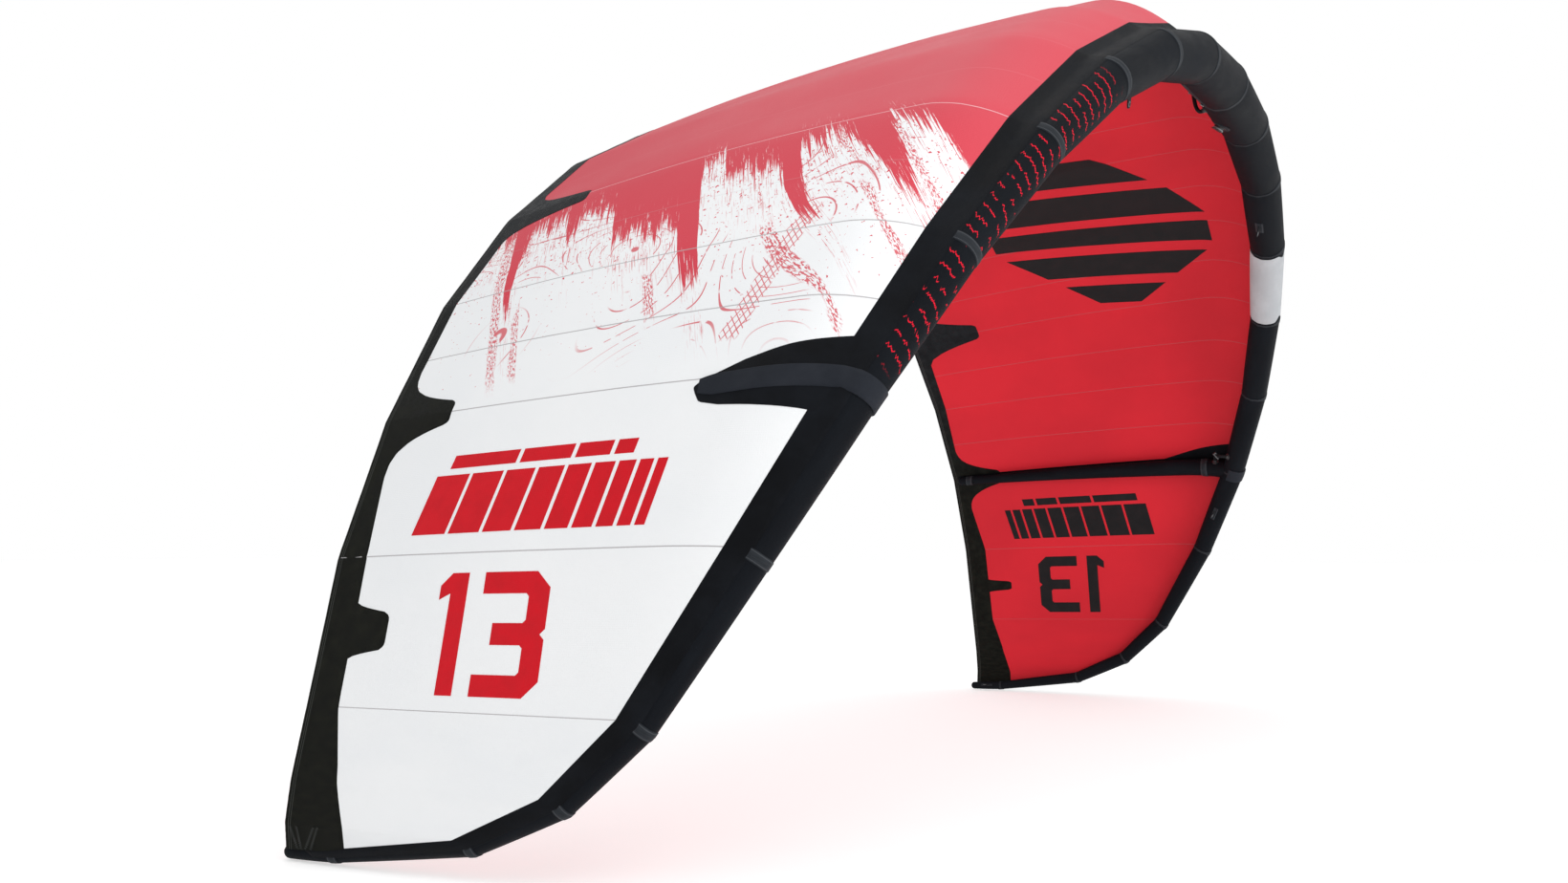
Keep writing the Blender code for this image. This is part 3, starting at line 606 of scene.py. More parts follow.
def canopy_inner():
    g = Graph("canopy_inner_red")
    u, v = g.pair("Metres")
    signed, e = g.pair("Station")
    s = g.calc("ABSOLUTE", signed)
    tone = g.noise(g.times(e, 1.6), g.times(signed, 0.8), 11.0, 3.0)
    colour = g.mix(g.rise(tone, 0.3, 0.7), (0.560, 0.017, 0.029), RED_INNER)
    seam = panel_seams(g, s)
    colour = g.mix(g.times(seam, 0.6), colour, (0.45, 0.10, 0.11))
    g.bump(g.plus(ripstop_height(g, u, v), g.times(seam, 2.5)), 0.0004, 0.6)
    return g.finish(colour, g.rise(tone, 0.2, 0.8, 0.45, 0.6), 0.0, 0.12)


def black_sleeve():
    """Heavy woven polyester, near black and worn in places, with rows of loose red marks on the left."""
    g = Graph("sleeve_black_weave")
    u, v = g.pair("Metres")
    signed, turn = g.pair("Station")
    worn = g.noise(g.times(u, 3.0), g.times(v, 5.0), 0.0, 4.0, 0.6)
    grain = g.noise(g.times(u, 420.0), g.times(v, 900.0), 2.0, 1.0)
    colour = g.mix(g.rise(worn, 0.35, 0.75, 0.0, 0.55), BLACK_CLOTH, SLATE)
    colour = g.mix(g.times(grain, 0.35), colour, SLATE)
    slanted = g.plus(u, g.times(v, 0.22))
    row = g.calc("FLOOR", g.plus(g.times(slanted, 1 / MARK_ROW), 0.5))
    swing = g.noise(g.times(v, 95.0), g.times(row, 5.3), 4.0, 1.5, 0.6)
    mark = g.every(g.plus(slanted, g.times(g.minus(swing, 0.5), 0.034)), MARK_ROW, 0.0016, 0.0008)
    mark = g.times(mark, g.rise(g.noise(g.times(v, 24.0), g.times(row, 3.1), 8.0, 1.0), 0.44, 0.47))
    there = g.times(g.near(signed, -4.5, 1.25, 0.15), g.near(turn, 6.8, 1.9, 0.2))
    colour = g.mix(g.times(mark, g.times(there, 0.95)), colour, (0.72, 0.010, 0.030))
    height = g.plus(g.times(g.weave(u, v, WEAVE), 0.4), g.times(worn, 2.2))
    g.bump(height, 0.0006, 0.5)
    return g.finish(colour, g.rise(worn, 0.3, 0.7, 0.42, 0.58), 0.0, 0.04)


def woven(name, colour, second, pitch=WEAVE, rough=(0.5, 0.65), sheen=0.02, variation=6.0):
    """A plain woven cloth with slow colour variation between two tones."""
    g = Graph(name)
    u, v = g.pair("Metres")
    tone = g.noise(g.times(u, variation), g.times(v, variation), 0.0, 4.0, 0.6)
    mixed = g.mix(g.rise(tone, 0.35, 0.7), colour, second)
    g.bump(g.plus(g.times(g.weave(u, v, pitch), 0.6), g.times(tone, 1.5)), 0.0005, 0.6)
    return g.finish(mixed, g.rise(tone, 0.3, 0.7, *rough), sheen, 0.06)


def band_cloth():
    """Mottled near-black cloth with a double row of stitches, olive-black towards the tips and a paler slate
    towards the crown, which is painted sheen of the top light.
    """
    g = Graph("band_cloth")
    u, v = g.pair("Metres")
    signed, e = g.pair("Station")
    s = g.calc("ABSOLUTE", signed)
    mottle = g.noise(g.times(e, 26.0), g.times(s, 9.0), 2.0, 5.0, 0.65)
    lower = g.mix(g.rise(mottle, 0.35, 0.75), (0.0030, 0.0034, 0.0022), (0.0120, 0.0124, 0.0088))
    upper = g.mix(g.rise(mottle, 0.3, 0.8), (0.0070, 0.0082, 0.0100), (0.0190, 0.0215, 0.0250))
    # Painted sheen: the band turns paler slate towards the crown, where the top light falls, and stays
    # olive-black towards the tips; the mottle is the cloth's own.
    colour = g.mix(g.rise(s, 3.5, 6.5), upper, lower)
    stitches = g.calc("MAXIMUM", g.near(e, 0.012, 0.0006, 0.0006), g.near(e, 0.019, 0.0006, 0.0006))
    dashes = g.every(g.times(s, PANEL), 0.005, 0.0016, 0.0006)
    thread = g.times(stitches, dashes)
    colour = g.mix(g.times(thread, 0.7), colour, (0.10, 0.105, 0.10))
    height = g.plus(g.times(g.weave(u, v, WEAVE), 0.5), g.plus(g.times(mottle, 2.5), g.times(thread, 1.0)))
    g.bump(height, 0.0006, 0.6)
    return g.finish(colour, g.rise(mottle, 0.3, 0.7, 0.40, 0.60), 0.0, 0.07)


def seam_tape():
    """Grey webbing tape over a leading-edge seam. Its Metres map runs across it from -1 to 1."""
    g = Graph("seam_tape")
    across, v = g.pair("Metres")
    tone = g.noise(g.times(across, 3.0), g.times(v, 14.0), 0.0, 4.0)
    rib = g.calc("SINE", g.times(across, 38.0))
    colour = g.mix(g.rise(tone, 0.3, 0.7), (0.0120, 0.0145, 0.0180), (0.0230, 0.0265, 0.0320))
    stitch = g.calc("MAXIMUM", g.near(across, -0.72, 0.06, 0.05), g.near(across, 0.72, 0.06, 0.05))
    dashes = g.every(v, 0.006, 0.002, 0.0006)
    thread = g.times(stitch, dashes)
    colour = g.mix(g.times(thread, 0.6), colour, (0.085, 0.092, 0.102))
    g.bump(g.plus(g.times(rib, 0.35), g.plus(thread, g.times(tone, 0.8))), 0.0006, 0.7)
    return g.finish(colour, g.rise(tone, 0.3, 0.7, 0.5, 0.66), 0.01, 0.10)


def moulded(name, colour, second, rough=(0.32, 0.5), grain=900.0):
    """Moulded plastic: fine grain, slight blotches in its gloss, and a paler tone where it is rubbed."""
    g = Graph(name)
    blotch = g.object_noise(60.0, 3.0)
    fine = g.object_noise(grain, 2.0)
    mixed = g.mix(g.rise(blotch, 0.4, 0.7), colour, second)
    g.bump(fine, 0.0001, 0.5)
    return g.finish(mixed, g.rise(blotch, 0.3, 0.7, *rough), 0.0, 0.5)


def clear_film():
    g = Graph("bladder_film")
    haze = g.object_noise(14.0, 4.0)
    mixed = g.mix(g.rise(haze, 0.3, 0.7), (0.50, 0.55, 0.53), (0.66, 0.68, 0.64))
    g.bump(haze, 0.002, 0.4)
    return g.finish(mixed, g.rise(haze, 0.3, 0.7, 0.18, 0.4), 0.0, 0.5)


def print_ink(name, colour, second):
    g = Graph(name)
    u, v = g.pair("Metres")
    tone = g.noise(g.times(u, 14.0), g.times(v, 14.0), 1.0, 4.0, 0.6)
    mixed = g.mix(g.rise(tone, 0.35, 0.75), colour, second)
    g.bump(ripstop_height(g, u, v), 0.0004, 0.5)
    return g.finish(mixed, g.rise(tone, 0.3, 0.7, 0.40, 0.55), 0.0, 0.15)


OUTER = canopy_outer()
INNER = canopy_inner()
SLEEVE = black_sleeve()
BAND = band_cloth()
TAPE = seam_tape()
PATCH = woven("patch_black", (0.0026, 0.0030, 0.0042), (0.0066, 0.0078, 0.0105), sheen=0.01)
STRAP = woven("strap_webbing", (0.0145, 0.0170, 0.0230), (0.0220, 0.0250, 0.0320), 0.0030)
THREAD = woven("thread_grey", (0.055, 0.058, 0.058), (0.085, 0.088, 0.086), 0.0012)
WEBBING = woven("tab_webbing", (0.010, 0.011, 0.013), (0.022, 0.024, 0.028), 0.0024, variation=30.0)
# Painted shade: the white leading-edge panel is coloured a mid grey, about half as bright as the canopy's
# white, standing in for the shade on its part of the tube.
WHITE_SLEEVE_PAINTED_SHADE = woven("white_sleeve_painted_shade", (0.42, 0.44, 0.46), (0.50, 0.52, 0.54), rough=(0.45, 0.6))
RED_INK = print_ink("red_ink", (0.60, 0.004, 0.013), (0.54, 0.006, 0.014))
BLACK_INK = print_ink("black_ink", (0.006, 0.006, 0.007), (0.013, 0.010, 0.011))
MOULDED_BLACK = moulded("moulded_black_grain", (0.014, 0.014, 0.016), (0.030, 0.031, 0.034))
MOULDED_GREY = moulded("moulded_grey_grain", (0.14, 0.15, 0.16), (0.20, 0.21, 0.22))
RUBBER = moulded("rubber_grain", (0.022, 0.022, 0.024), (0.040, 0.040, 0.042), (0.5, 0.7), 500.0)
FILM = clear_film()
HOSE = woven("hose_rubber", (0.010, 0.010, 0.011), (0.018, 0.018, 0.020), 0.0030, (0.35, 0.5), 0.0, 40.0)


# The leading edge.

TUBE_POINTS = 48
RING = [k * TUBE_SIDES / TUBE_POINTS for k in range(TUBE_POINTS + 1)]
SLEEVE_WALL = 0.0018
SUNK = 0.0004
PUFF = 0.0008
CREASE_REACH, CREASE_LEAST, CREASE_MORE = 0.022, 0.0010, 0.0026
TIP_TURNS = (18, 34, 48, 60, 70, 79, 86)


def around(vertex):
    """Metres round the tube from its back."""
    return 2 * math.pi * vertex / TUBE_SIDES * TUBE_RADIUS


def tube_extra(station, vertex):
    """Air fills each panel slightly, and the cloth creases on the inside of each bend."""
    j = round(station)
    reach = abs(arc_at(station) - SEAMS[j][6]) if j <= LAST_SEAM else 1.0
    fill = PUFF * math.sin(math.pi * (station % 1.0))
    inner = max(0.0, -math.sin(2 * math.pi * (vertex - 1.5) / TUBE_SIDES))
    pinch = math.exp(-((reach / CREASE_REACH) ** 2)) * inner
    crease = 0.5 + 0.5 * math.cos(2 * math.pi * vertex * 2.25 + 2.1 * j)
    return fill - pinch * (CREASE_LEAST + CREASE_MORE * crease)


def on_sleeve(station, vertex, side, lift, metres, sunk=SUNK):
    """A cell of a sheet that lies on the sleeve, from lift metres above it to sunk metres under it."""
    extra = tube_extra(station, vertex)
    outer = tube_point(station, vertex, extra + lift, side)
    inner = tube_point(station, vertex, extra - sunk, side)
    return outer, inner, metres, (station * side, vertex)


def tube_rows(stations, side):
    rows = []
    for i in stations:
        arc = arc_at(i) * side
        rows.append([on_sleeve(i, vertex, side, 0.0, (arc, around(vertex)), SLEEVE_WALL) for vertex in RING])
    return rows


def tip_rows(side):
    """The rounded end of the tube."""
    _, _, along, _, _, radius, arc = SEAMS[-1]
    rows = []
    for angle in (math.radians(degrees) for degrees in TIP_TURNS):
        row = []
        for vertex in RING:
            pair = []
            for wall in (0.0, SLEEVE_WALL):
                full = radius - wall
                point = seam_ring_point(LAST_SEAM, vertex, full * math.cos(angle) - radius)
                pair.append(mirrored(point + along * full * math.sin(angle), side))
            metres = ((arc + radius * angle) * side, around(vertex))
            row.append((*pair, metres, (LAST_SEAM * side, vertex)))
        rows.append(row)
    return rows


def panel_stations(first, last):
    found = []
    for j in range(first, last):
        found += [j + t for t in (0, 0.02, 0.05, 0.09, 0.15, 0.3, 0.5, 0.7, 0.85, 0.91, 0.95, 0.98)]
    return found + [last]


def leading_edge():
    for side, sign in SIDES.items():
        ends = SLEEVE_SEAMS[side]
        for number, (first, last) in enumerate(zip(ends, ends[1:]), 1):
            rows = tube_rows(panel_stations(first, last), sign)
            if last == LAST_SEAM:
                rows += tip_rows(sign)
            node = f"le_sleeve_{side}_{number}"
            name = f"le_skin_{side}_{number}"
            shell(name, rows, [SLEEVE], sharp=60, replaced=[node], slot="sleeve_black")


TAPE_WIDE, TAPE_NARROW = 0.030, 0.010
TAPE_STEPS = (-1.0, -0.93, -0.5, 0.0, 0.5, 0.93, 1.0)
TAPE_EDGE, TAPE_MIDDLE = 0.0006, 0.0018
CENTRE_TAPE_HALF, CENTRE_STEPS = 0.010, (-1.0, -0.9, 0.0, 0.9, 1.0)
CENTRE_EDGE, CENTRE_MIDDLE = 0.0005, 0.0014


def tape_width(vertex):
    """A seam's tape is wide over the front of the tube and narrow inside the bend."""
    inside = math.cos(2 * math.pi * (vertex - 13.0) / TUBE_SIDES)
    return TAPE_WIDE - (TAPE_WIDE - TAPE_NARROW) * smooth(1.2 * inside + 0.2)


def seam_tapes():
    """Sewn tapes over the seams between panels."""
    for side, sign in SIDES.items():
        for j in range(1, LAST_SEAM):
            rows = []
            for t in TAPE_STEPS:
                length = PANEL_LENGTHS[j - 1] if t < 0 else PANEL_LENGTHS[j]
                lift = TAPE_EDGE if abs(t) == 1.0 else TAPE_MIDDLE
                row = []
                for vertex in RING:
                    i = j + t * tape_width(vertex) / 2 / length
                    row.append(on_sleeve(i, vertex, sign, lift, (t, around(vertex))))
                rows.append(row)
            shell(f"le_tape_{side}_{j}", rows, [TAPE], sharp=60, slot="webbing_grey")
    rows = []
    for t in CENTRE_STEPS:
        i = abs(t) * CENTRE_TAPE_HALF / PANEL
        lift = CENTRE_EDGE if abs(t) == 1.0 else CENTRE_MIDDLE
        rows.append([on_sleeve(i, vertex, side_of(t), lift, (t, around(vertex))) for vertex in RING])
    shell("le_tape_centre", rows, [TAPE], sharp=60, slot="webbing_grey")


WHITE_PANEL, WHITE_INSET, WHITE_LIFT = (3.0, 4.0), 0.035, 0.0011
NOTCH_DEPTH, NOTCH_VERTEX, NOTCH_HALF = 0.055, 9.0, 1.1


def white_panel():
    """One leading-edge panel on the right side is white, with a notch in each end. Its cloth is coloured
    grey, a painted shade.
    """
    rows = []
    for t in spread(0.0, 1.0, 8):
        row = []
        for vertex in RING:
            inset = WHITE_INSET + NOTCH_DEPTH * smooth(1.0 - abs(vertex - NOTCH_VERTEX) / NOTCH_HALF)
            start, end = WHITE_PANEL[0] + inset, WHITE_PANEL[1] - inset
            i = start + (end - start) * t
            row.append(on_sleeve(i, vertex, 1.0, WHITE_LIFT, (arc_at(i), around(vertex))))
        rows.append(row)
    shell("le_white_panel", rows, [WHITE_SLEEVE_PAINTED_SHADE], sharp=60, slot="sleeve_black")


STRIP_END = 11.4
STRIP_REACH, STRIP_INNER_REACH = 0.040, 0.022


def joint_strip():
    """The black strip that joins the canopy to the leading edge, outside and inside, filled between them."""
    right = []
    for j in range(LAST_SEAM):
        steps = 8 if j < ARCH_PANELS else 6
        right += [j + t / steps for t in range(steps)]
    right = [i for i in right if i < STRIP_END] + [STRIP_END]
    rings = []
    for i in both_halves(right):
        a, side = abs(i), side_of(i)
        front = attach_point(a).y
        chord = trailing_y(a) - front
        reach, inner_reach = min(STRIP_REACH, 0.45 * chord), min(STRIP_INNER_REACH, 0.3 * chord)
        tube_outer = ((4.9, -0.0010), (4.75, 0.0014), (4.2, 0.0028), (3.6, 0.0060))
        sheet = (
            (0.006, 0.0026), (reach * 0.6, 0.0018), (reach, 0.0012), (reach, 0.0003),
            (inner_reach, -0.0003), (inner_reach, -0.0014), (0.006, -0.0030),
        )
        tube_inner = ((2.4, 0.0040), (2.0, 0.0016), (1.9, -0.0010))
        ring = [tube_point(a, vertex, lift, side) for vertex, lift in tube_outer]
        ring += [cloth(i, front + behind, lift) for behind, lift in sheet]
        ring += [tube_point(a, vertex, lift, side) for vertex, lift in tube_inner]
        arc = arc_at(a) * side
        rings.append([(p, (arc, 0.01 * k), (i, 0.01 * k)) for k, p in enumerate(ring)])
    loft("canopy_joint_strip", rings, [PATCH], sharp=50, slot="band_black")


# The canopy and its trailing edge.


REAR_INSET = 0.004
CHORD_STEPS = 54


def canopy():
    """One continuous cambered sheet from tip to tip."""
    right = [j + t / 10 for j in range(11) for t in range(10)]
    right = [i for i in right if i < CANOPY_END] + [CANOPY_END]
    rows = []
    for i in both_halves(right):
        front, rear = attach_point(abs(i)).y, trailing_y(abs(i)) - REAR_INSET
        places = [front + (rear - front) * t**1.25 for t in spread(0.0, 1.0, CHORD_STEPS)]
        rows.append([on_cloth(i, y, CLOTH_HALF, -CLOTH_HALF) for y in places])
    nodes = [f"canopy_{part}_{side}" for part in ("centre", "tip") for side in SIDES]
    shell("canopy_skin", rows, [OUTER, INNER], sharp=30, replaced=nodes, slot="canopy_red")


# Of each patch: middle, half width of its end, depth, flare inboard and outboard, and how sharply it flares.
PATCH_SHAPES = {
    "outer": (
        (0.0, 0.10, 0.26, 0.30, 0.30, 5.0),
        (4.02, 0.075, 0.350, 0.42, 0.30, 4.0),
        (6.0, 0.095, 0.262, 0.40, 0.52, 5.0),
        (7.5, 0.125, 0.238, 0.06, 0.06, 1.6),
    ),
    "inner": (
        (0.0, 0.10, 0.26, 0.30, 0.30, 5.0),
        (3.99, 0.105, 0.352, 0.36, 0.24, 2.2),
        (6.0, 0.095, 0.262, 0.40, 0.45, 4.0),
        (7.52, 0.060, 0.242, 0.03, 0.03, 1.6),
    ),
}
FACES = {"outer": 1.0, "inner": -1.0}


def band_depth(station, face):
    """How far the trailing-edge band reaches forward, with its patches."""
    base = from_table(BAND_DEPTHS, station)
    depth = base
    for middle, half, reach, inboard, outboard, sharpness in PATCH_SHAPES[face]:
        away = station - middle
        past = max(abs(away) - half, 0.0) / (outboard if away > 0 else inboard)
        if past < 1.0:
            shape = (1.0 - past) ** sharpness
            corner = 0.018 * min(max(abs(away) / half - 0.55, 0.0) / 0.45, 1.0) ** 2.5
            depth = max(depth, base + (reach - base - corner) * shape)
    return depth


def band_stations(face):
    found = set(spread(0.0, BAND_END, round(BAND_END * 12)))
    for middle, half, _, inboard, outboard, _ in PATCH_SHAPES[face]:
        for away in spread(-half, half, 14):
            found.add(middle + away)
        for t in (0.02, 0.05, 0.09, 0.14, 0.2, 0.3, 0.45, 0.7, 1.0):
            found.add(middle - half - inboard * t)
            found.add(middle + half + outboard * t)
    kept = [0.0]
    for i in sorted(found):
        if 0.004 < i - kept[-1] and i <= BAND_END:
            kept.append(i)
    return kept


BAND_STEPS = (0.0, 0.012, 0.1, 0.25, 0.42, 0.6, 0.78, 0.90, 0.97, 1.0)
BAND_BED = 0.0003


def band_nodes(side):
    nodes = [f"te_{part}_{side}" for part in ("band_centre", "band_tip", "patch_strut", "patch_mid", "tab")]
    return nodes + (["te_patch_centre"] if side == "left" else [])


def trailing_band():
    """A band of heavier cloth sewn to both faces along the trailing edge, and the hem that closes it."""
    for side, sign in SIDES.items():
        for face, way in FACES.items():
            rows = []
            for a in band_stations(face):
                rear = trailing_y(a) - REAR_INSET
                depth = min(band_depth(a, face), rear + REAR_INSET - attach_point(a).y - 0.003) - REAR_INSET
                row = []
                for t in BAND_STEPS:
                    half = BAND_EDGE_HALF if t == 0.0 else BAND_HALF
                    row.append(on_cloth(a * sign, rear - depth * (1.0 - t), way * half, way * BAND_BED))
                rows.append(row)
            nodes = band_nodes(side) if face == "outer" else []
            shell(f"te_band_{face}_{side}", rows, [BAND], sharp=40, replaced=nodes, slot="band_black")
        rings = []
        for a in spread(0.0, BAND_END, 150):
            rear = trailing_y(a)
            ring = []
            for turn in turns(HEM_POINTS):
                y = rear - HEM_REACH * (1.0 + math.cos(turn))
                roll = HEM_HALF * math.sin(turn) * (1.0 + 0.12 * math.sin(a * 60.0))
                ring.append((cloth(a * sign, y, roll), (arc_at(a) * sign, y), (a * sign, rear - y)))
            rings.append(ring)
        loft(f"te_hem_{side}", rings, [BAND], sharp=60, slot="band_black")


# Reinforcements at the side struts.

# A reinforcement's reach inboard, then outboard, in stations, at a distance behind the leading edge.
LEAF = (
    ((0.0, 0.275), (0.06, 0.245), (0.15, 0.205), (0.27, 0.135), (0.36, 0.055), (0.40, 0.02)),
    ((0.0, 0.235), (0.05, 0.200), (0.20, 0.165), (0.32, 0.130), (0.38, 0.095), (0.40, 0.05)),
)
GUSSET = (
    ((0.0, 0.285), (0.37, 0.105), (0.40, 0.06)),
    ((0.0, 0.16), (0.20, 0.10), (0.40, 0.05)),
)
WEDGE_LENGTH = 0.40
WEDGE_LEAN, WEDGE_TIP = 0.05, 0.03
WEDGE_EDGE, WEDGE_RISE, WEDGE_BED = 0.0016, 0.0006, 0.0003
WEDGE_FIRST = -0.012


def wedge_edges(shape, from_front):
    """(inboard, outboard) stations of a reinforcement at this distance behind the leading edge."""
    middle = STRUT_SEAM + WEDGE_LEAN * from_front / WEDGE_LENGTH
    into_tip = max(from_front - (WEDGE_LENGTH - WEDGE_TIP), 0.0)
    rounding = math.sqrt(max(1.0 - (into_tip / WEDGE_TIP) ** 2, 0.02))
    inboard, outboard = (from_table(reach, from_front) * rounding for reach in shape)
    return middle - inboard, middle + outboard


def wedge_rows(shape, sign, way):
    front = attach_point(STRUT_SEAM).y
    rows = []
    for t in spread(0.0, 1.0, 30):
        from_front = WEDGE_FIRST + (WEDGE_LENGTH - WEDGE_FIRST) * (1 - (1 - t) ** 1.5)
        inboard, outboard = wedge_edges(shape, max(from_front, 0.0))
        row = []
        for w in spread(0.0, 1.0, 18):
            i = inboard + (outboard - inboard) * w
            slant = attach_point(i).y - front
            y = front + slant * (1 - smooth(from_front / 0.2)) + max(from_front, 0.0)
            rim = min(w, 1 - w, (1 - t) * 1.4)
            over = WEDGE_EDGE + WEDGE_RISE * smooth(rim / 0.06)
            row.append(on_cloth(i * sign, y, way * over, way * WEDGE_BED))
        rows.append(row)
    return rows


def strut_reinforcements():
    for side, sign in SIDES.items():
        leaf, gusset = wedge_rows(LEAF, sign, 1), wedge_rows(GUSSET, sign, -1)
        shell(f"strut_leaf_{side}", leaf, [PATCH], replaced=[f"strut_wedge_{side}"], slot="band_black")
        shell(f"strut_gusset_{side}", gusset, [PATCH], slot="band_black")


STRAP_HALF, STRAP_TIP = 0.031, 0.62
STRAP_STEPS = (-1.0, -0.94, -0.6, -0.2, 0.2, 0.6, 0.94, 1.0)
STRAP_EDGE, STRAP_MIDDLE = 0.0030, 0.0046
STRAP_VERTICES = (3.9, 13.0)


def strap_line():
    """Places down the strap: (True, station, y) along the leaf, (False, station, vertex) round the tube."""
    front = attach_point(STRUT_SEAM).y
    steps = []
    for t in spread(0.0, 1.0, 18):
        from_front = (WEDGE_LENGTH - 0.015) * (1 - t) + 0.010 * t
        steps.append((True, STRUT_SEAM + WEDGE_LEAN * from_front / WEDGE_LENGTH, front + from_front))
    return steps + [(False, STRUT_SEAM, vertex) for vertex in spread(*STRAP_VERTICES, 40)]


def straps():
    """A raised strap runs down the middle of each leaf, then round the leading edge."""
    tip = attach_point(STRUT_SEAM).y + WEDGE_LENGTH
    for side, sign in SIDES.items():
        rows = []
        travelled = 0.0
        last = None
        for on_leaf, station, place in strap_line():
            taper = STRAP_TIP + (1 - STRAP_TIP) * smooth((tip - place) / 0.06) if on_leaf else 1.0
            row = []
            for w in STRAP_STEPS:
                i = station + w * STRAP_HALF * taper / PANEL
                lift = STRAP_EDGE if abs(w) == 1.0 else STRAP_MIDDLE
                if on_leaf:
                    pair = cloth(i * sign, place, lift + 0.0008), cloth(i * sign, place, 0.0006)
                else:
                    pair = tube_point(i, place, lift + SUNK, sign), tube_point(i, place, -SUNK, sign)
                row.append((*pair, w))
            middle = row[3][0]
            travelled += (middle - last).length if last else 0.0
            last = middle
            rows.append([(p, q, (w * STRAP_HALF, travelled), (station * sign, place)) for p, q, w in row])
        node = f"strut_strap_{side}"
        shell(f"strut_strap_wrap_{side}", rows, [STRAP], sharp=40, replaced=[node], slot="webbing_grey")


# The struts.

STRUTS = (("centre", 0, 1), ("left", STRUT_SEAM, -1), ("right", STRUT_SEAM, 1))
STRUT_POINTS = 36


NOSE_REACH, NOSE_TURNS = 0.045, (20, 40, 58, 74)
BASE_STEPS = (-1.0, -0.7, -0.35, 0.0, 0.35, 0.7, 1.0)
COLLAR_PLACES = (("front", 0.05), ("rear", 0.965))
COLLAR_HALF = 0.017
COLLAR_STEPS = ((-0.017, 0.0006), (-0.015, 0.0018), (0.0, 0.0020), (0.015, 0.0018), (0.017, 0.0006))


def strut_line(station):
    """(y at the front, y at the rear) of a strut's tube."""
    centre, _, along, _, _, radius, _ = SEAMS[station]
    slope = abs(along.y) / math.hypot(along.x, along.z)
    reach = radius * math.hypot(1, slope) + STRUT_RADIUS_FRONT * slope + 0.004
    return centre.y + reach, trailing_y(station) - STRUT_TAIL


def strut_radius(front, rear, y):
    return STRUT_RADIUS_FRONT + (STRUT_RADIUS_REAR - STRUT_RADIUS_FRONT) * (y - front) / (rear - front)


def strut_ring(station, y, full, sign, squeeze=1.0, slide=0.0):
    inward = -outward_at(station)
    across = Vector((-inward.z, 0, inward.x))
    hub = canopy_point(station, y) + inward * (full + 0.0015)
    ring = []
    for turn in turns(STRUT_POINTS):
        point = hub + full * squeeze * (math.cos(turn) * inward + math.sin(turn) * across)
        point.y += slide
        ring.append((mirrored(point, sign), (y, full * turn), (station * sign, trailing_y(station) - y)))
    return ring


def strut_skin(name, station, sign):
    front, rear = strut_line(station)
    start = front - NOSE_REACH
    rings = []
    for t in spread(0.0, 1.0, 40):
        y = start + (rear - start) * t
        rings.append(strut_ring(station, y, strut_radius(front, rear, y), sign))
    for turn in (math.radians(degrees) for degrees in NOSE_TURNS):
        slide = 0.8 * STRUT_RADIUS_REAR * math.sin(turn)
        rings.append(strut_ring(station, rear, STRUT_RADIUS_REAR, sign, math.cos(turn), slide))
    node = f"strut_sleeve_{name}"
    loft(f"strut_skin_{name}", rings, [SLEEVE], sharp=60, replaced=[node], slot="sleeve_black")


def strut_base(name, station, sign):
    """The flange that joins a strut to the canopy."""
    front, rear = strut_line(station)
    rows = []
    for y in spread(front - 0.03, rear + 0.02, 40):
        half = 0.62 * strut_radius(front, rear, y) + 0.012
        row = []
        for w in BASE_STEPS:
            i = (station + w * half / PANEL) * sign
            lift = -0.0012 - 0.0022 * (1 - abs(w)) ** 0.7
            row.append(on_cloth(i, y, -0.0003, lift, (w * half, y)))
        rows.append(row)
    shell(f"strut_base_{name}", rows, [PATCH], slot="band_black")


def struts():
    for name, station, sign in STRUTS:
        strut_skin(name, station, sign)
        strut_base(name, station, sign)
        front, rear = strut_line(station)
        for label, share in COLLAR_PLACES:
            y = front + (rear - front) * share
            rings = []
            for slide, lift in COLLAR_STEPS:
                ring = strut_ring(station, y + slide, strut_radius(front, rear, y + slide) + lift, sign)
                rings.append([(p, (slide / COLLAR_HALF, metres[1]), s) for p, metres, s in ring])
            loft(f"strut_collar_{name}_{label}", rings, [TAPE], sharp=60, slot="webbing_grey")


# Printed panels.


def stroke(points, half):
    """Quads along a polyline with mitred corners, in the plane of the print."""
    rails = []
    for k, point in enumerate(points):
        before = (point - points[k - 1]).normalized() if k else None
        after = (points[k + 1] - point).normalized() if k + 1 < len(points) else None
        if before is None or after is None:
            way = after or before
            side = Vector((-way.y, way.x))
            rails.append((point + side * half, point - side * half))
            continue
        side = Vector((-before.y, before.x)) + Vector((-after.y, after.x))
        side.normalize()
        scale = half / side.dot(Vector((-after.y, after.x)))
        rails.append((point + side * scale, point - side * scale))
    return [(a[0], a[1], b[1], b[0]) for a, b in zip(rails, rails[1:])]


PRINT_CELL = 0.034


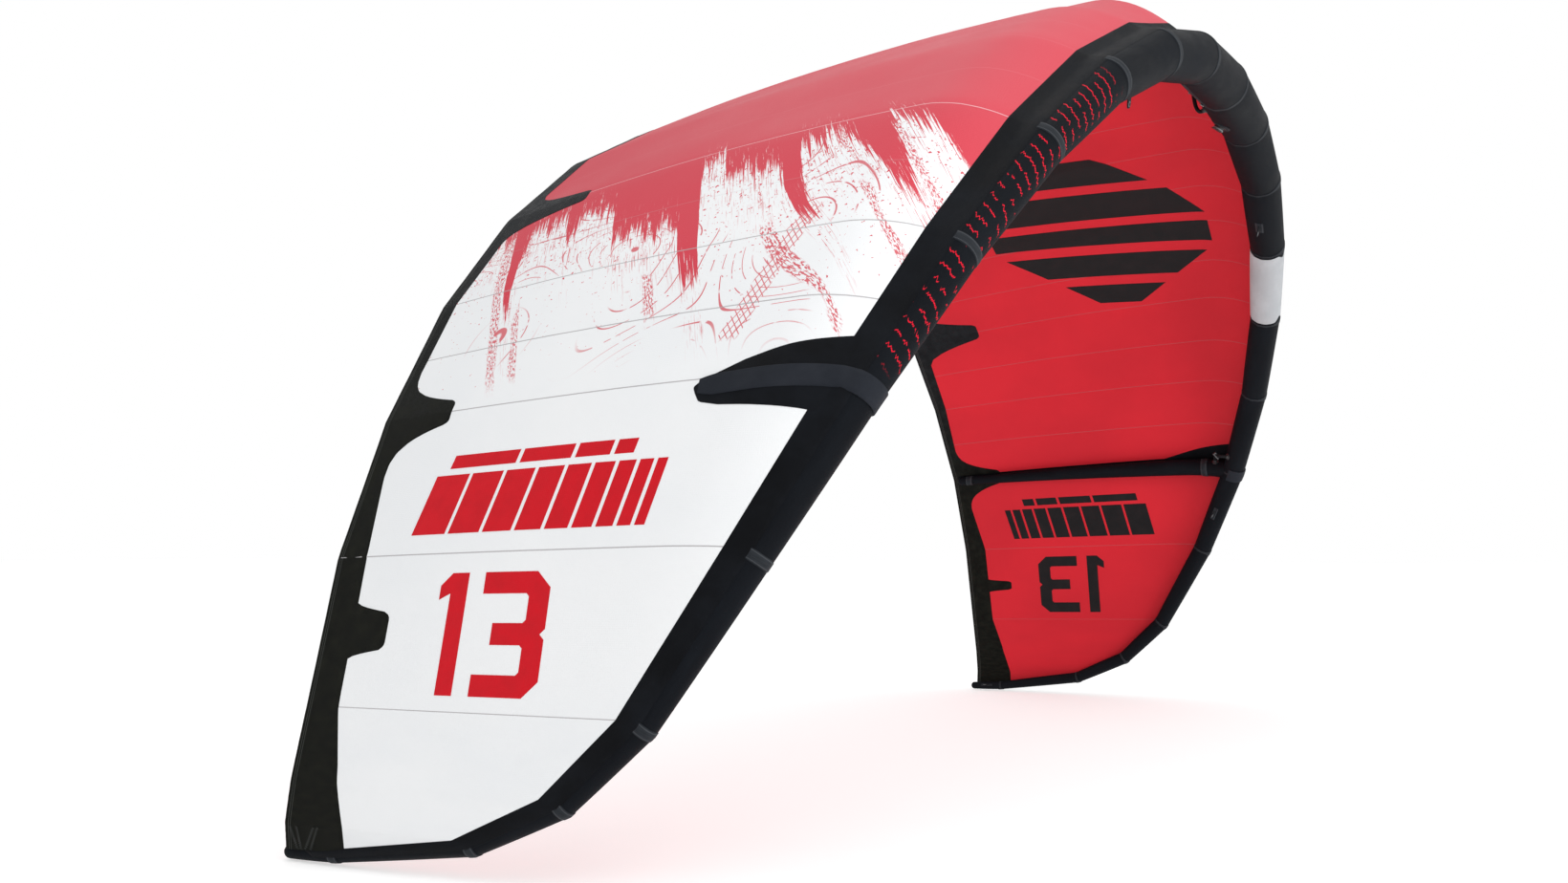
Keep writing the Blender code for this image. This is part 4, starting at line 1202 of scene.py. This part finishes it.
def print_on(name, quads, finish, side, lift, under, slot="canopy_red"):
    """A thin film on the cloth, between two heights off it. Quads are in (metres from the rear, station)."""
    points, faces, metres, stations = [], [], [], []
    for quad in quads:
        flat = [Vector((p.x, p.y * PANEL)) for p in quad]
        wide = max(1, math.ceil((flat[1] - flat[0]).length / PRINT_CELL))
        tall = max(1, math.ceil((flat[3] - flat[0]).length / PRINT_CELL))
        base = len(points)
        for a in range(wide + 1):
            for b in range(tall + 1):
                at = quad[0].lerp(quad[1], a / wide).lerp(quad[3].lerp(quad[2], a / wide), b / tall)
                y = trailing_y(at.y) - at.x
                for offset in (lift, under):
                    points.append(cloth(at.y * side, y, offset))
                    metres.append((arc_at(at.y) * side, y))
                    stations.append((at.y * side, at.x))

        def face(*corners):
            return tuple(base + (a * (tall + 1) + b) * 2 + low for a, b, low in corners)

        for a in range(wide):
            for b in range(tall):
                for low in (0, 1):
                    ring = face((a, b, low), (a + 1, b, low), (a + 1, b + 1, low), (a, b + 1, low))
                    faces.append(ring[::-1] if low else ring)
            for b in (0, tall):
                faces.append(face((a, b, 0), (a, b, 1), (a + 1, b, 1), (a + 1, b, 0)))
        for b in range(tall):
            for a in (0, wide):
                faces.append(face((a, b, 0), (a, b + 1, 0), (a, b + 1, 1), (a, b, 1)))
    mesh = mesh_of(name, points, faces, [0] * len(faces), metres, stations)
    finished(name, mesh, [finish], slot=slot)


NUMBER_TOP, NUMBER_BASE, NUMBER_REAR = 7.13, 7.90, 0.44
NUMBER_STROKE = 0.032


def outline(*pairs):
    return tuple(Vector(pair) for pair in pairs)


def number_quads():
    """The size, 13, in block figures. x is metres from the trailing edge, and y is the station."""
    one = NUMBER_REAR + 0.024
    top, base = NUMBER_TOP, NUMBER_BASE
    near, far = one - 0.026, one + 0.030
    stem = outline((near, top), (far, top), (far, base), (near, base))
    flag = outline((one - 0.062, top + 0.08), (near, top), (near, top + 0.13), (one - 0.062, top + 0.17))
    left, bend, right = one + 0.085, one + 0.240, one + 0.267
    middle, step = (top + base) / 2, NUMBER_STROKE / PANEL
    upper = outline(
        (left, top + step), (bend, top + step), (right, top + step + 0.06),
        (right, middle - 0.06), (bend, middle), (left + 0.045, middle),
    )
    lower = outline(
        (bend, middle), (right, middle + 0.06), (right, base - step - 0.06),
        (bend, base - step), (left, base - step),
    )
    return [stem, flag] + station_stroke(upper, NUMBER_STROKE) + station_stroke(lower, NUMBER_STROKE)


def station_stroke(points, half):
    """A stroke whose points are (metres, station), of the same width both ways."""
    scaled = [Vector((p.x, p.y * PANEL)) for p in points]
    found = []
    for quad in stroke(scaled, half):
        found.append(tuple(Vector((p.x, p.y / PANEL)) for p in quad))
    return found


WIDE_BARS, WIDE_ROW = [0.118 - 0.011 * k for k in range(9)], (6.47, 6.87)
THIN_BARS, THIN_ROW = (0.230, 0.170, 0.110, 0.060), (6.335, 6.425)
BAR_ROWS = ((0.255, WIDE_BARS, WIDE_ROW, 0.030, 0.012), (0.325, THIN_BARS, THIN_ROW, 0.008, 0.014))


def bar_quads():
    """A row of slanted bars that grow narrower, under a row of thin ones, where the real cloth has words."""
    quads = []
    for x, widths, (top, base), lean, gap in BAR_ROWS:
        for width in widths:
            end = x + width
            quads.append(outline((x + lean, top), (end + lean, top), (end, base), (x, base)))
            x = end + gap
    return quads


MOTIF_STATION, MOTIF_FROM_REAR = 2.88, 1.09
MOTIF_RADIUS = 0.50


def motif_quads():
    """A plain six-sided badge of slanted stripes, standing in for a printed disc on the inner face."""
    quads = []
    for low, high in ((-0.98, -0.62), (-0.50, -0.14), (-0.02, 0.22), (0.34, 0.62), (0.74, 0.98)):
        edge = []
        for row in (low, high):
            width = MOTIF_RADIUS * min(1.0, (1.15 - abs(row)) * 1.15)
            for way in (-1, 1):
                tilt = 0.22 * way * width
                y = MOTIF_STATION + (row * MOTIF_RADIUS + tilt * 0.6) / PANEL
                edge.append(Vector((MOTIF_FROM_REAR + way * width, y)))
        quads.append((edge[0], edge[1], edge[3], edge[2]))
    return quads


PRINT_OUTER, PRINT_INNER = (0.0013, 0.0004), (-0.0015, -0.0004)
THREAD_HEIGHTS = (0.0024, 0.0012)
THREAD_HALF, THREAD_SWING, ZIGZAG_COUNT, ZIGZAG_END = 0.0012, 0.0042, 22, 11.05
ZIGZAGS = ((10.15, 0.018, 0.042), (10.12, 0.040, 0.054), (10.10, 0.098, 0.066), (10.08, 0.112, 0.084))


def zigzag_quads():
    """Rows of zigzag stitching that hold the webbing inside the tip, each from inboard out to the tube."""
    quads = []
    for first, start, end in ZIGZAGS:
        points = []
        for k, t in enumerate(spread(0.0, 1.0, ZIGZAG_COUNT)):
            swing = THREAD_SWING if k % 2 else -THREAD_SWING
            points.append(Vector((start + (end - start) * t + swing, first + (ZIGZAG_END - first) * t)))
        quads += station_stroke(points, THREAD_HALF)
    return quads


def flipped(quads, swap):
    """Turns a print end for end along the chord, so that it reads the right way round on the right half."""
    if not swap:
        return quads
    xs = [p.x for quad in quads for p in quad]
    total = min(xs) + max(xs)
    return [tuple(Vector((total - p.x, p.y)) for p in quad) for quad in quads]


def prints():
    for side, sign in SIDES.items():
        for label, quads in (("size_number", number_quads()), ("stripes", bar_quads())):
            quads = flipped(quads, sign > 0)
            print_on(f"{label}_outer_{side}", quads, RED_INK, sign, *PRINT_OUTER)
            print_on(f"{label}_inner_{side}", quads, BLACK_INK, sign, *PRINT_INNER)
        print_on(f"tip_stitching_{side}", zigzag_quads(), THREAD, sign, *THREAD_HEIGHTS, slot="webbing_grey")
    print_on("badge_inner_right", motif_quads(), BLACK_INK, 1.0, *PRINT_INNER)


# Small hardware.

EASED_EDGE = 0.0003


def keep_with(node, finish):
    """Shows a hard CAD node with a better finish, its edges eased."""
    obj = frame["nodes"][node]
    for place in obj.material_slots:
        place.link = "OBJECT"
        place.material = finish
    ease = obj.modifiers.new("Eased edges", "BEVEL")
    ease.width = EASED_EDGE
    ease.segments = 2
    ease.limit_method = "ANGLE"
    ease.angle_limit = math.radians(50)


def facet_frame(station, vertex, side):
    """A frame on the CAD tube's flat facet after this vertex: X along the tube, Z outwards."""
    a = tube_point(station - 0.05, vertex, 0, side)
    b = tube_point(station - 0.05, vertex + 1, 0, side)
    c = tube_point(station + 0.05, vertex, 0, side)
    d = tube_point(station + 0.05, vertex + 1, 0, side)
    x = ((c + d) - (a + b)).normalized()
    z = x.cross((b + d) - (a + c)).normalized()
    middle = (a + b + c + d) / 4
    hub = mirrored(between(station, lambda j: SEAMS[j][0]), side)
    if z.dot(middle - hub) < 0:
        z = -z
    return Matrix.Translation(middle) @ Matrix((x, z.cross(x), z)).transposed().to_4x4()


def turned(name, place, profile, finish, sides=28, **kept):
    """A solid of revolution about the Z of a place, from (radius, height) pairs."""
    rings = []
    travelled = 0.0
    for number, (radius, height) in enumerate(profile):
        if number:
            travelled += math.dist(profile[number - 1], (radius, height))
        ring = []
        for turn in turns(sides):
            point = place @ Vector((radius * math.cos(turn), radius * math.sin(turn), height))
            ring.append((point, (radius * turn, travelled), (0.0, 0.0)))
        rings.append(ring)
    loft(name, rings, [finish], sharp=35, **kept)


def standing_on(point, normal):
    """A frame at a point with its Z along a normal."""
    return Matrix.Translation(point) @ normal.to_track_quat("Z", "Y").to_matrix().to_4x4()


# The hoses.

HOSE_POINTS, HOSE_RADIUS, HOSE_WALL = 24, 0.0075, 0.0016
HOSE_FLAT_WIDE, HOSE_FLAT_HIGH = 0.0105, 0.0030
HOSE_FLAT_TO, HOSE_ROUND_FROM = 0.0090, 0.0180
HOSE_VERTEX = -1.5
HOSE_LIFT, HOSE_LEAVE = 0.004, 0.065
HOSE_ENTER, HOSE_END = STRUT_RADIUS_FRONT + 0.060, STRUT_RADIUS_FRONT + 0.002
HINGE_Y, HINGE_Z = -0.0145, 0.0049
PORT = (
    (0.0165, -0.004), (0.0165, 0.0012), (0.0150, 0.0022), (0.0104, 0.0030),
    (0.0096, 0.0044), (0.0096, 0.0100), (0.0088, 0.0108),
)


def bezier(points, t):
    a, b, c, d = points
    s = 1 - t
    return a * s**3 + b * (3 * s * s * t) + c * (3 * s * t * t) + d * t**3


def hose_path(name, station, sign):
    """Control points of a hose's curve, which passes under its clip, and the cloth's inward direction."""
    hinge = next(joint for joint in frame["joints"] if joint["name"] == f"clip_{name}_hinge")
    x = Vector(hinge["axis"])
    inward = mirrored(-outward_at(station), sign)
    z = (inward - x * inward.dot(x)).normalized()
    middle = Vector(hinge["pos_m"]) - z.cross(x) * HINGE_Y - z * HINGE_Z
    offset = 0.2 if station == 0 else -0.2
    port = tube_point(station + offset, HOSE_VERTEX, HOSE_LIFT, sign)
    leave = tube_point(station + offset, HOSE_VERTEX, HOSE_LEAVE, sign)
    along = SEAMS[station][2].copy()
    along.y = 0
    along.normalize()
    toward = along if station == 0 else -along
    side = mirrored((toward - outward_at(station) * 0.25).normalized(), sign)
    hub = (middle * 8 - port - leave * 3 - side * (3 * HOSE_ENTER + HOSE_END)) / 4
    return (port, leave, hub + side * HOSE_ENTER, hub + side * HOSE_END), inward


def hose_row(middle, along, inward, wide, high, travelled):
    up = (inward - along * inward.dot(along)).normalized()
    across = up.cross(along)
    row = []
    for turn in turns(HOSE_POINTS):
        ring = across * (wide * math.cos(turn)) + up * (high * math.sin(turn))
        bore = across * ((wide - HOSE_WALL) * math.cos(turn)) + up * ((high - HOSE_WALL) * math.sin(turn))
        row.append((middle + ring, middle + bore, (HOSE_RADIUS * turn, travelled), (0.0, 0.0)))
    return row


def hoses():
    """An air hose runs from the leading edge into each strut, pinched flat under its clip."""
    for name, station, sign in STRUTS:
        points, inward = hose_path(name, station, sign)
        middle = bezier(points, 0.5)
        step = bezier(points, 0.53) - bezier(points, 0.47)
        straight = step.normalized()
        clear = 0.06 * HOSE_ROUND_FROM / step.length + 0.05
        centres = [(bezier(points, t), 0.0) for t in spread(0.0, 0.5 - clear, 14)]
        for slide in spread(-HOSE_ROUND_FROM, HOSE_ROUND_FROM, 16):
            flat = smooth((HOSE_ROUND_FROM - abs(slide)) / (HOSE_ROUND_FROM - HOSE_FLAT_TO))
            centres.append((middle + straight * slide, flat))
        centres += [(bezier(points, t), 0.0) for t in spread(0.5 + clear, 1.0, 14)]
        rows = []
        travelled = 0.0
        for k, (centre, flat) in enumerate(centres):
            if k:
                travelled += (centre - centres[k - 1][0]).length
            before, after = centres[max(k - 1, 0)][0], centres[min(k + 1, len(centres) - 1)][0]
            wide = HOSE_RADIUS + (HOSE_FLAT_WIDE - HOSE_RADIUS) * flat
            high = HOSE_RADIUS + (HOSE_FLAT_HIGH - HOSE_RADIUS) * flat
            rows.append(hose_row(centre, (after - before).normalized(), inward, wide, high, travelled))
        node = f"hose_{name}"
        shell(f"hose_tube_{name}", rows, [HOSE], ring=True, sharp=60, replaced=[node], slot="hose_black")
        ends = (
            ("front", points[0], (points[1] - points[0]).normalized(), HOSE_LIFT),
            ("strut", points[3], (points[2] - points[3]).normalized(), 0.002),
        )
        for label, point, normal, lift in ends:
            place = standing_on(point - normal * lift, normal)
            turned(f"hose_port_{name}_{label}", place, PORT, MOULDED_BLACK, slot="moulded_black")


# The zip.

ZIP_VERTEX = -3
ZIP_FROM, ZIP_TO = 0.10, 0.95
TOOTH_PITCH = 0.0030


def zip_point(station, share, lift):
    return tube_point(station, ZIP_VERTEX + share, lift, SIDES["left"])


TAPE_SHARES = {"inner": (0.20, 0.475), "outer": (0.525, 0.80)}
BLOCK_FACES = ((0, 1, 2, 3), (4, 5, 6, 7), (0, 1, 5, 4), (1, 2, 6, 5), (2, 3, 7, 6), (3, 0, 4, 7))


def zip_tape(label, first, last):
    rows = []
    for t in spread(0.0, 1.0, 40):
        station = ZIP_FROM + (ZIP_TO - ZIP_FROM) * t
        row = []
        for w in (0.0, 0.06, 0.5, 0.94, 1.0):
            share = first + (last - first) * w
            lift = 0.0012 if w in (0.0, 1.0) else 0.0018
            low = tube_extra(station, ZIP_VERTEX + share) - 0.0006
            pair = zip_point(station, share, lift), zip_point(station, share, low)
            row.append((*pair, (2 * w - 1, (station - ZIP_FROM) * PANEL), (-station, 0.0)))
        rows.append(row)
    replaced = ["le_zip"] if label == "inner" else []
    shell(f"zip_tape_{label}", rows, [TAPE], replaced=replaced, slot="webbing_grey")


def zip_strip():
    """The zip over the bladder's opening: two halves of tape, with teeth and end stops between them."""
    for label, shares in TAPE_SHARES.items():
        zip_tape(label, *shares)
    points, faces, metres = [], [], []

    def block(station, half_length, middle, half_share, high):
        base = len(points)
        for lift in (0.0004, high):
            for way, over in ((-1, -1), (1, -1), (1, 1), (-1, 1)):
                share = middle + over * half_share
                points.append(zip_point(station + way * half_length / PANEL, share, lift))
                metres.append((station * PANEL, share * 0.04))
        faces.extend(tuple(base + k for k in face) for face in BLOCK_FACES)

    for k in range(int((ZIP_TO - ZIP_FROM) * PANEL / TOOTH_PITCH) - 2):
        station = ZIP_FROM + (k + 1.5) * TOOTH_PITCH / PANEL
        block(station, 0.0010, 0.512 if k % 2 else 0.488, 0.045, 0.0026)
    for station in (ZIP_FROM + 0.004, ZIP_TO - 0.004):
        block(station, 0.0020, 0.5, 0.07, 0.0029)
    mesh = mesh_of("zip_teeth", points, faces, [0] * len(faces), metres, metres)
    finished("zip_teeth", mesh, [MOULDED_BLACK], slot="moulded_black")


# The line tabs.

TAB_HALF_WIDTH, TAB_EYE_UP, TAB_EYE, TAB_THICK = 0.014, 0.031, 0.006, 0.004
TAB_VERTEX, TAB_BASE, TAB_ROOT = -4, 0.001, 0.004
TAB_PLACES = (("bridle_tab_{side}_1", 2.5), ("bridle_tab_{side}_2", 6.5), ("rear_tab_{side}", 11.5))
FOOT_HALF_LENGTH, FOOT_HALF_SHARE = 0.034, 0.58
FOOT_STEPS = (-1.0, -0.95, -0.6, -0.2, 0.2, 0.6, 0.95, 1.0)
GROMMET = ((-0.0026, 0.0072), (-0.0029, 0.0064), (0.0, 0.0059), (0.0029, 0.0064), (0.0026, 0.0072))
GROMMET_WALL = 0.0012


def tab_reach(c, s):
    """How far a tab's outline is from its eye: round above it and square below."""
    if s >= 0:
        return TAB_HALF_WIDTH
    return min(TAB_HALF_WIDTH / max(abs(c), 0.01), (TAB_EYE_UP + TAB_ROOT) / -s)


def tab_web(node, stand):
    rows = []
    for t in (0.0, 0.10, 0.5, 0.90, 1.0):
        half = TAB_THICK / 2 - (0.0006 if t in (0.0, 1.0) else 0.0)
        row = []
        for turn in turns(48):
            c, s = math.cos(turn), math.sin(turn)
            away = TAB_EYE + (tab_reach(c, s) - TAB_EYE) * t
            x, y = away * c, TAB_EYE_UP + away * s
            row.append((stand @ Vector((x, y, half)), stand @ Vector((x, y, -half)), (x, y), (0.0, 0.0)))
        rows.append(row)
    shell(f"{node}_web", rows, [WEBBING], ring=True, sharp=60, replaced=[node], slot="webbing_grey")


def tab_grommet(node, stand):
    rows = []
    for height, radius in GROMMET:
        full = radius + GROMMET_WALL
        row = []
        for turn in turns(36):
            c, s = math.cos(turn), math.sin(turn)
            inner = Vector((radius * c, TAB_EYE_UP + radius * s, height))
            outer = Vector((full * c, TAB_EYE_UP + full * s, height * 0.9))
            row.append((stand @ outer, stand @ inner, (radius * turn, height), (0.0, 0.0)))
        rows.append(row)
    shell(f"{node}_grommet", rows, [MOULDED_GREY], ring=True, sharp=60, slot="moulded_grey")


def tab_foot(node, station, sign):
    length = between(station, lambda j: PANEL_LENGTHS[min(j, len(PANEL_LENGTHS) - 1)])
    rows = []
    for t in FOOT_STEPS:
        i = station + t * FOOT_HALF_LENGTH / length
        row = []
        for w in spread(-1.0, 1.0, 10):
            vertex = TAB_VERTEX + 0.5 + w * FOOT_HALF_SHARE
            lift = 0.0008 if abs(t) == 1.0 or abs(w) == 1.0 else 0.0018
            row.append(on_sleeve(i, vertex, sign, lift, (w, t * FOOT_HALF_LENGTH), 0.0006))
        rows.append(row)
    shell(f"{node}_foot", rows, [TAPE], slot="webbing_grey")


def line_tabs():
    """Doubled webbing tabs with a grommet, sewn on under a foot, for the bridle and rear lines."""
    upright = Matrix.Translation((0, 0, TAB_BASE)) @ Matrix.Rotation(math.radians(90), 4, "X")
    for side, sign in SIDES.items():
        for pattern, station in TAB_PLACES:
            node = pattern.format(side=side)
            stand = facet_frame(station, TAB_VERTEX, sign) @ upright
            tab_web(node, stand)
            tab_grommet(node, stand)
            tab_foot(node, station, sign)


# The valve's place.

VALVE_STATION, VALVE_VERTEX, VALVE_LIFT = 0.5, -3, 0.001
VALVE_HOLE = 0.0145
VALVE_PATCH = ((0.0262, 0.0004), (0.0268, 0.0014), (0.034, 0.0014), (0.0415, 0.0014), (0.0425, 0.0004))


def valve_opening():
    """A round hole through the sleeve and the bladder for the valve's neck, and a patch round it."""
    place = facet_frame(VALVE_STATION, VALVE_VERTEX, 1.0) @ Matrix.Translation((0, 0, VALVE_LIFT))
    form = bmesh.new()
    size = {"radius1": VALVE_HOLE, "radius2": VALVE_HOLE, "depth": 0.05}
    bmesh.ops.create_cone(form, cap_ends=True, segments=48, **size)
    mesh = bpy.data.meshes.new("valve_cutter")
    form.to_mesh(mesh)
    form.free()
    cutter = bpy.data.objects.new("valve_cutter", mesh)
    bpy.context.scene.collection.objects.link(cutter)
    cutter.matrix_world = place
    for name in ("le_skin_right_1", "le_air_bladder"):
        skin = bpy.data.objects[name]
        cut = skin.modifiers.new("Valve hole", "BOOLEAN")
        cut.operation = "DIFFERENCE"
        cut.object = cutter
        bpy.context.view_layer.update()
        shape = skin.evaluated_get(bpy.context.evaluated_depsgraph_get())
        made = bpy.data.meshes.new_from_object(shape)
        skin.modifiers.clear()
        skin.data = made
    bpy.data.objects.remove(cutter)

    rows = []
    for radius, lift in VALVE_PATCH:
        row = []
        for turn in turns(60):
            i = VALVE_STATION + radius * math.cos(turn) / PANEL
            vertex = VALVE_VERTEX + 0.5 + radius * math.sin(turn) / (2 * math.pi * TUBE_RADIUS / TUBE_SIDES)
            metres = ((radius - 0.034) / 0.009, 0.034 * turn)
            row.append(on_sleeve(i, vertex, 1.0, lift, metres, 0.0006))
        rows.append(row)
    shell("valve_patch", rows, [TAPE], ring=True, sharp=60, slot="webbing_grey")


BLADDER_INSET = 0.0050


def bladders():
    """The leading edge's bladder, and one in each strut."""
    right = []
    for first, last in zip(range(LAST_SEAM), range(1, LAST_SEAM + 1)):
        right += panel_stations(first, last)[:-1]
    right.append(LAST_SEAM)
    rings = []
    for i in both_halves(right):
        a, side = abs(i), side_of(i)
        ring = []
        for vertex in RING[:-1]:
            point = tube_point(a, vertex, tube_extra(a, vertex) - BLADDER_INSET, side)
            ring.append((point, (arc_at(a) * side, vertex * 0.04), (i, vertex)))
        rings.append(ring)
    loft("le_air_bladder", rings, [FILM], sharp=60, replaced=["le_bladder"], slot="bladder_clear")
    for name, station, sign in STRUTS:
        front, rear = strut_line(station)
        rings = []
        for y in spread(front + BLADDER_INSET, rear - BLADDER_INSET, 30):
            full = strut_radius(front, rear, y)
            rings.append(strut_ring(station, y, full, sign, (full - BLADDER_INSET) / full))
        node = f"strut_bladder_{name}"
        loft(f"strut_air_bladder_{name}", rings, [FILM], sharp=60, replaced=[node], slot="bladder_clear")


def hardware():
    for node in ("valve_base", "valve_cap", "clip_body_centre", "clip_body_left", "clip_body_right"):
        keep_with(node, MOULDED_BLACK)
    for node in ("valve_collar", "clip_lever_centre", "clip_lever_left", "clip_lever_right", "zip_slider"):
        keep_with(node, MOULDED_GREY)
    keep_with("valve_flap", RUBBER)


SKY_LIGHT, SKY_SEEN = 0.72, 1.0
FLOOR_GLOW = 0.52


def stage():
    form = bmesh.new()
    bmesh.ops.create_grid(form, x_segments=2, y_segments=2, size=60.0)
    mesh = bpy.data.meshes.new("floor")
    form.to_mesh(mesh)
    form.free()
    g = Graph("floor_pale")
    grain = g.object_noise(3.0)
    g.finish(g.mix(grain, (0.66, 0.66, 0.66), (0.68, 0.68, 0.68)), 0.9, 0.0, 0.1)
    g.shader.inputs["Emission Color"].default_value = (1.0, 1.0, 1.0, 1.0)
    g.shader.inputs["Emission Strength"].default_value = FLOOR_GLOW
    mesh.materials.append(g.material)
    floor = bpy.data.objects.new("floor", mesh)
    bpy.context.scene.collection.objects.link(floor)
    floor.location = (0, 0, -0.004)

    world = bpy.data.worlds.new("studio")
    bpy.context.scene.world = world
    world.use_nodes = True
    tree = world.node_tree
    background = tree.nodes["Background"]
    background.inputs[0].default_value = (1.0, 1.0, 1.0, 1.0)
    rays = tree.nodes.new("ShaderNodeLightPath")
    strength = tree.nodes.new("ShaderNodeMapRange")
    strength.inputs[3].default_value = SKY_LIGHT
    strength.inputs[4].default_value = SKY_SEEN
    tree.links.new(rays.outputs["Is Camera Ray"], strength.inputs[0])
    tree.links.new(strength.outputs[0], background.inputs[1])

    for name, place, size, power in (
        ("key", (-5.0, -3.5, 6.5), 4.5, 150.0),
        ("crown", (0.5, 1.0, 6.5), 5.0, 60.0),
        ("inside", (-2.0, -7.0, 2.5), 4.0, 200.0),
    ):
        data = bpy.data.lights.new(name, "AREA")
        data.shape = "DISK"
        data.size = size
        data.energy = power
        lamp = bpy.data.objects.new(name, data)
        bpy.context.scene.collection.objects.link(lamp)
        lamp.location = place
        aim = Vector((0.0, 0.0, 1.4)) - Vector(place)
        lamp.rotation_mode = "QUATERNION"
        lamp.rotation_quaternion = aim.to_track_quat("-Z", "Y")


CAMERA_FROM_CROWN = Vector((-5.657, -1.0733, -1.6804))
CAMERA_AZIMUTH, CAMERA_ELEVATION = -63.05, -3.77
CAMERA_LENS = 35.12


def camera():
    data = bpy.data.cameras.new("camera")
    data.lens = CAMERA_LENS
    data.sensor_width = 36.0
    obj = bpy.data.objects.new("camera", data)
    bpy.context.scene.collection.objects.link(obj)
    azimuth, elevation = math.radians(CAMERA_AZIMUTH), math.radians(CAMERA_ELEVATION)
    back = Vector(
        (
            math.sin(azimuth) * math.cos(elevation),
            -math.cos(azimuth) * math.cos(elevation),
            math.sin(elevation),
        )
    )
    obj.location = ORIGIN + CAMERA_FROM_CROWN
    obj.rotation_mode = "QUATERNION"
    obj.rotation_quaternion = (-back).to_track_quat("-Z", "Y")
    bpy.context.scene.camera = obj
    bpy.context.scene.view_settings.view_transform = "Standard"


leading_edge()
seam_tapes()
white_panel()
joint_strip()
canopy()
trailing_band()
strut_reinforcements()
straps()
struts()
prints()
bladders()
hoses()
zip_strip()
line_tabs()
valve_opening()
hardware()
stage()
camera()

bpy.context.view_layer.update()
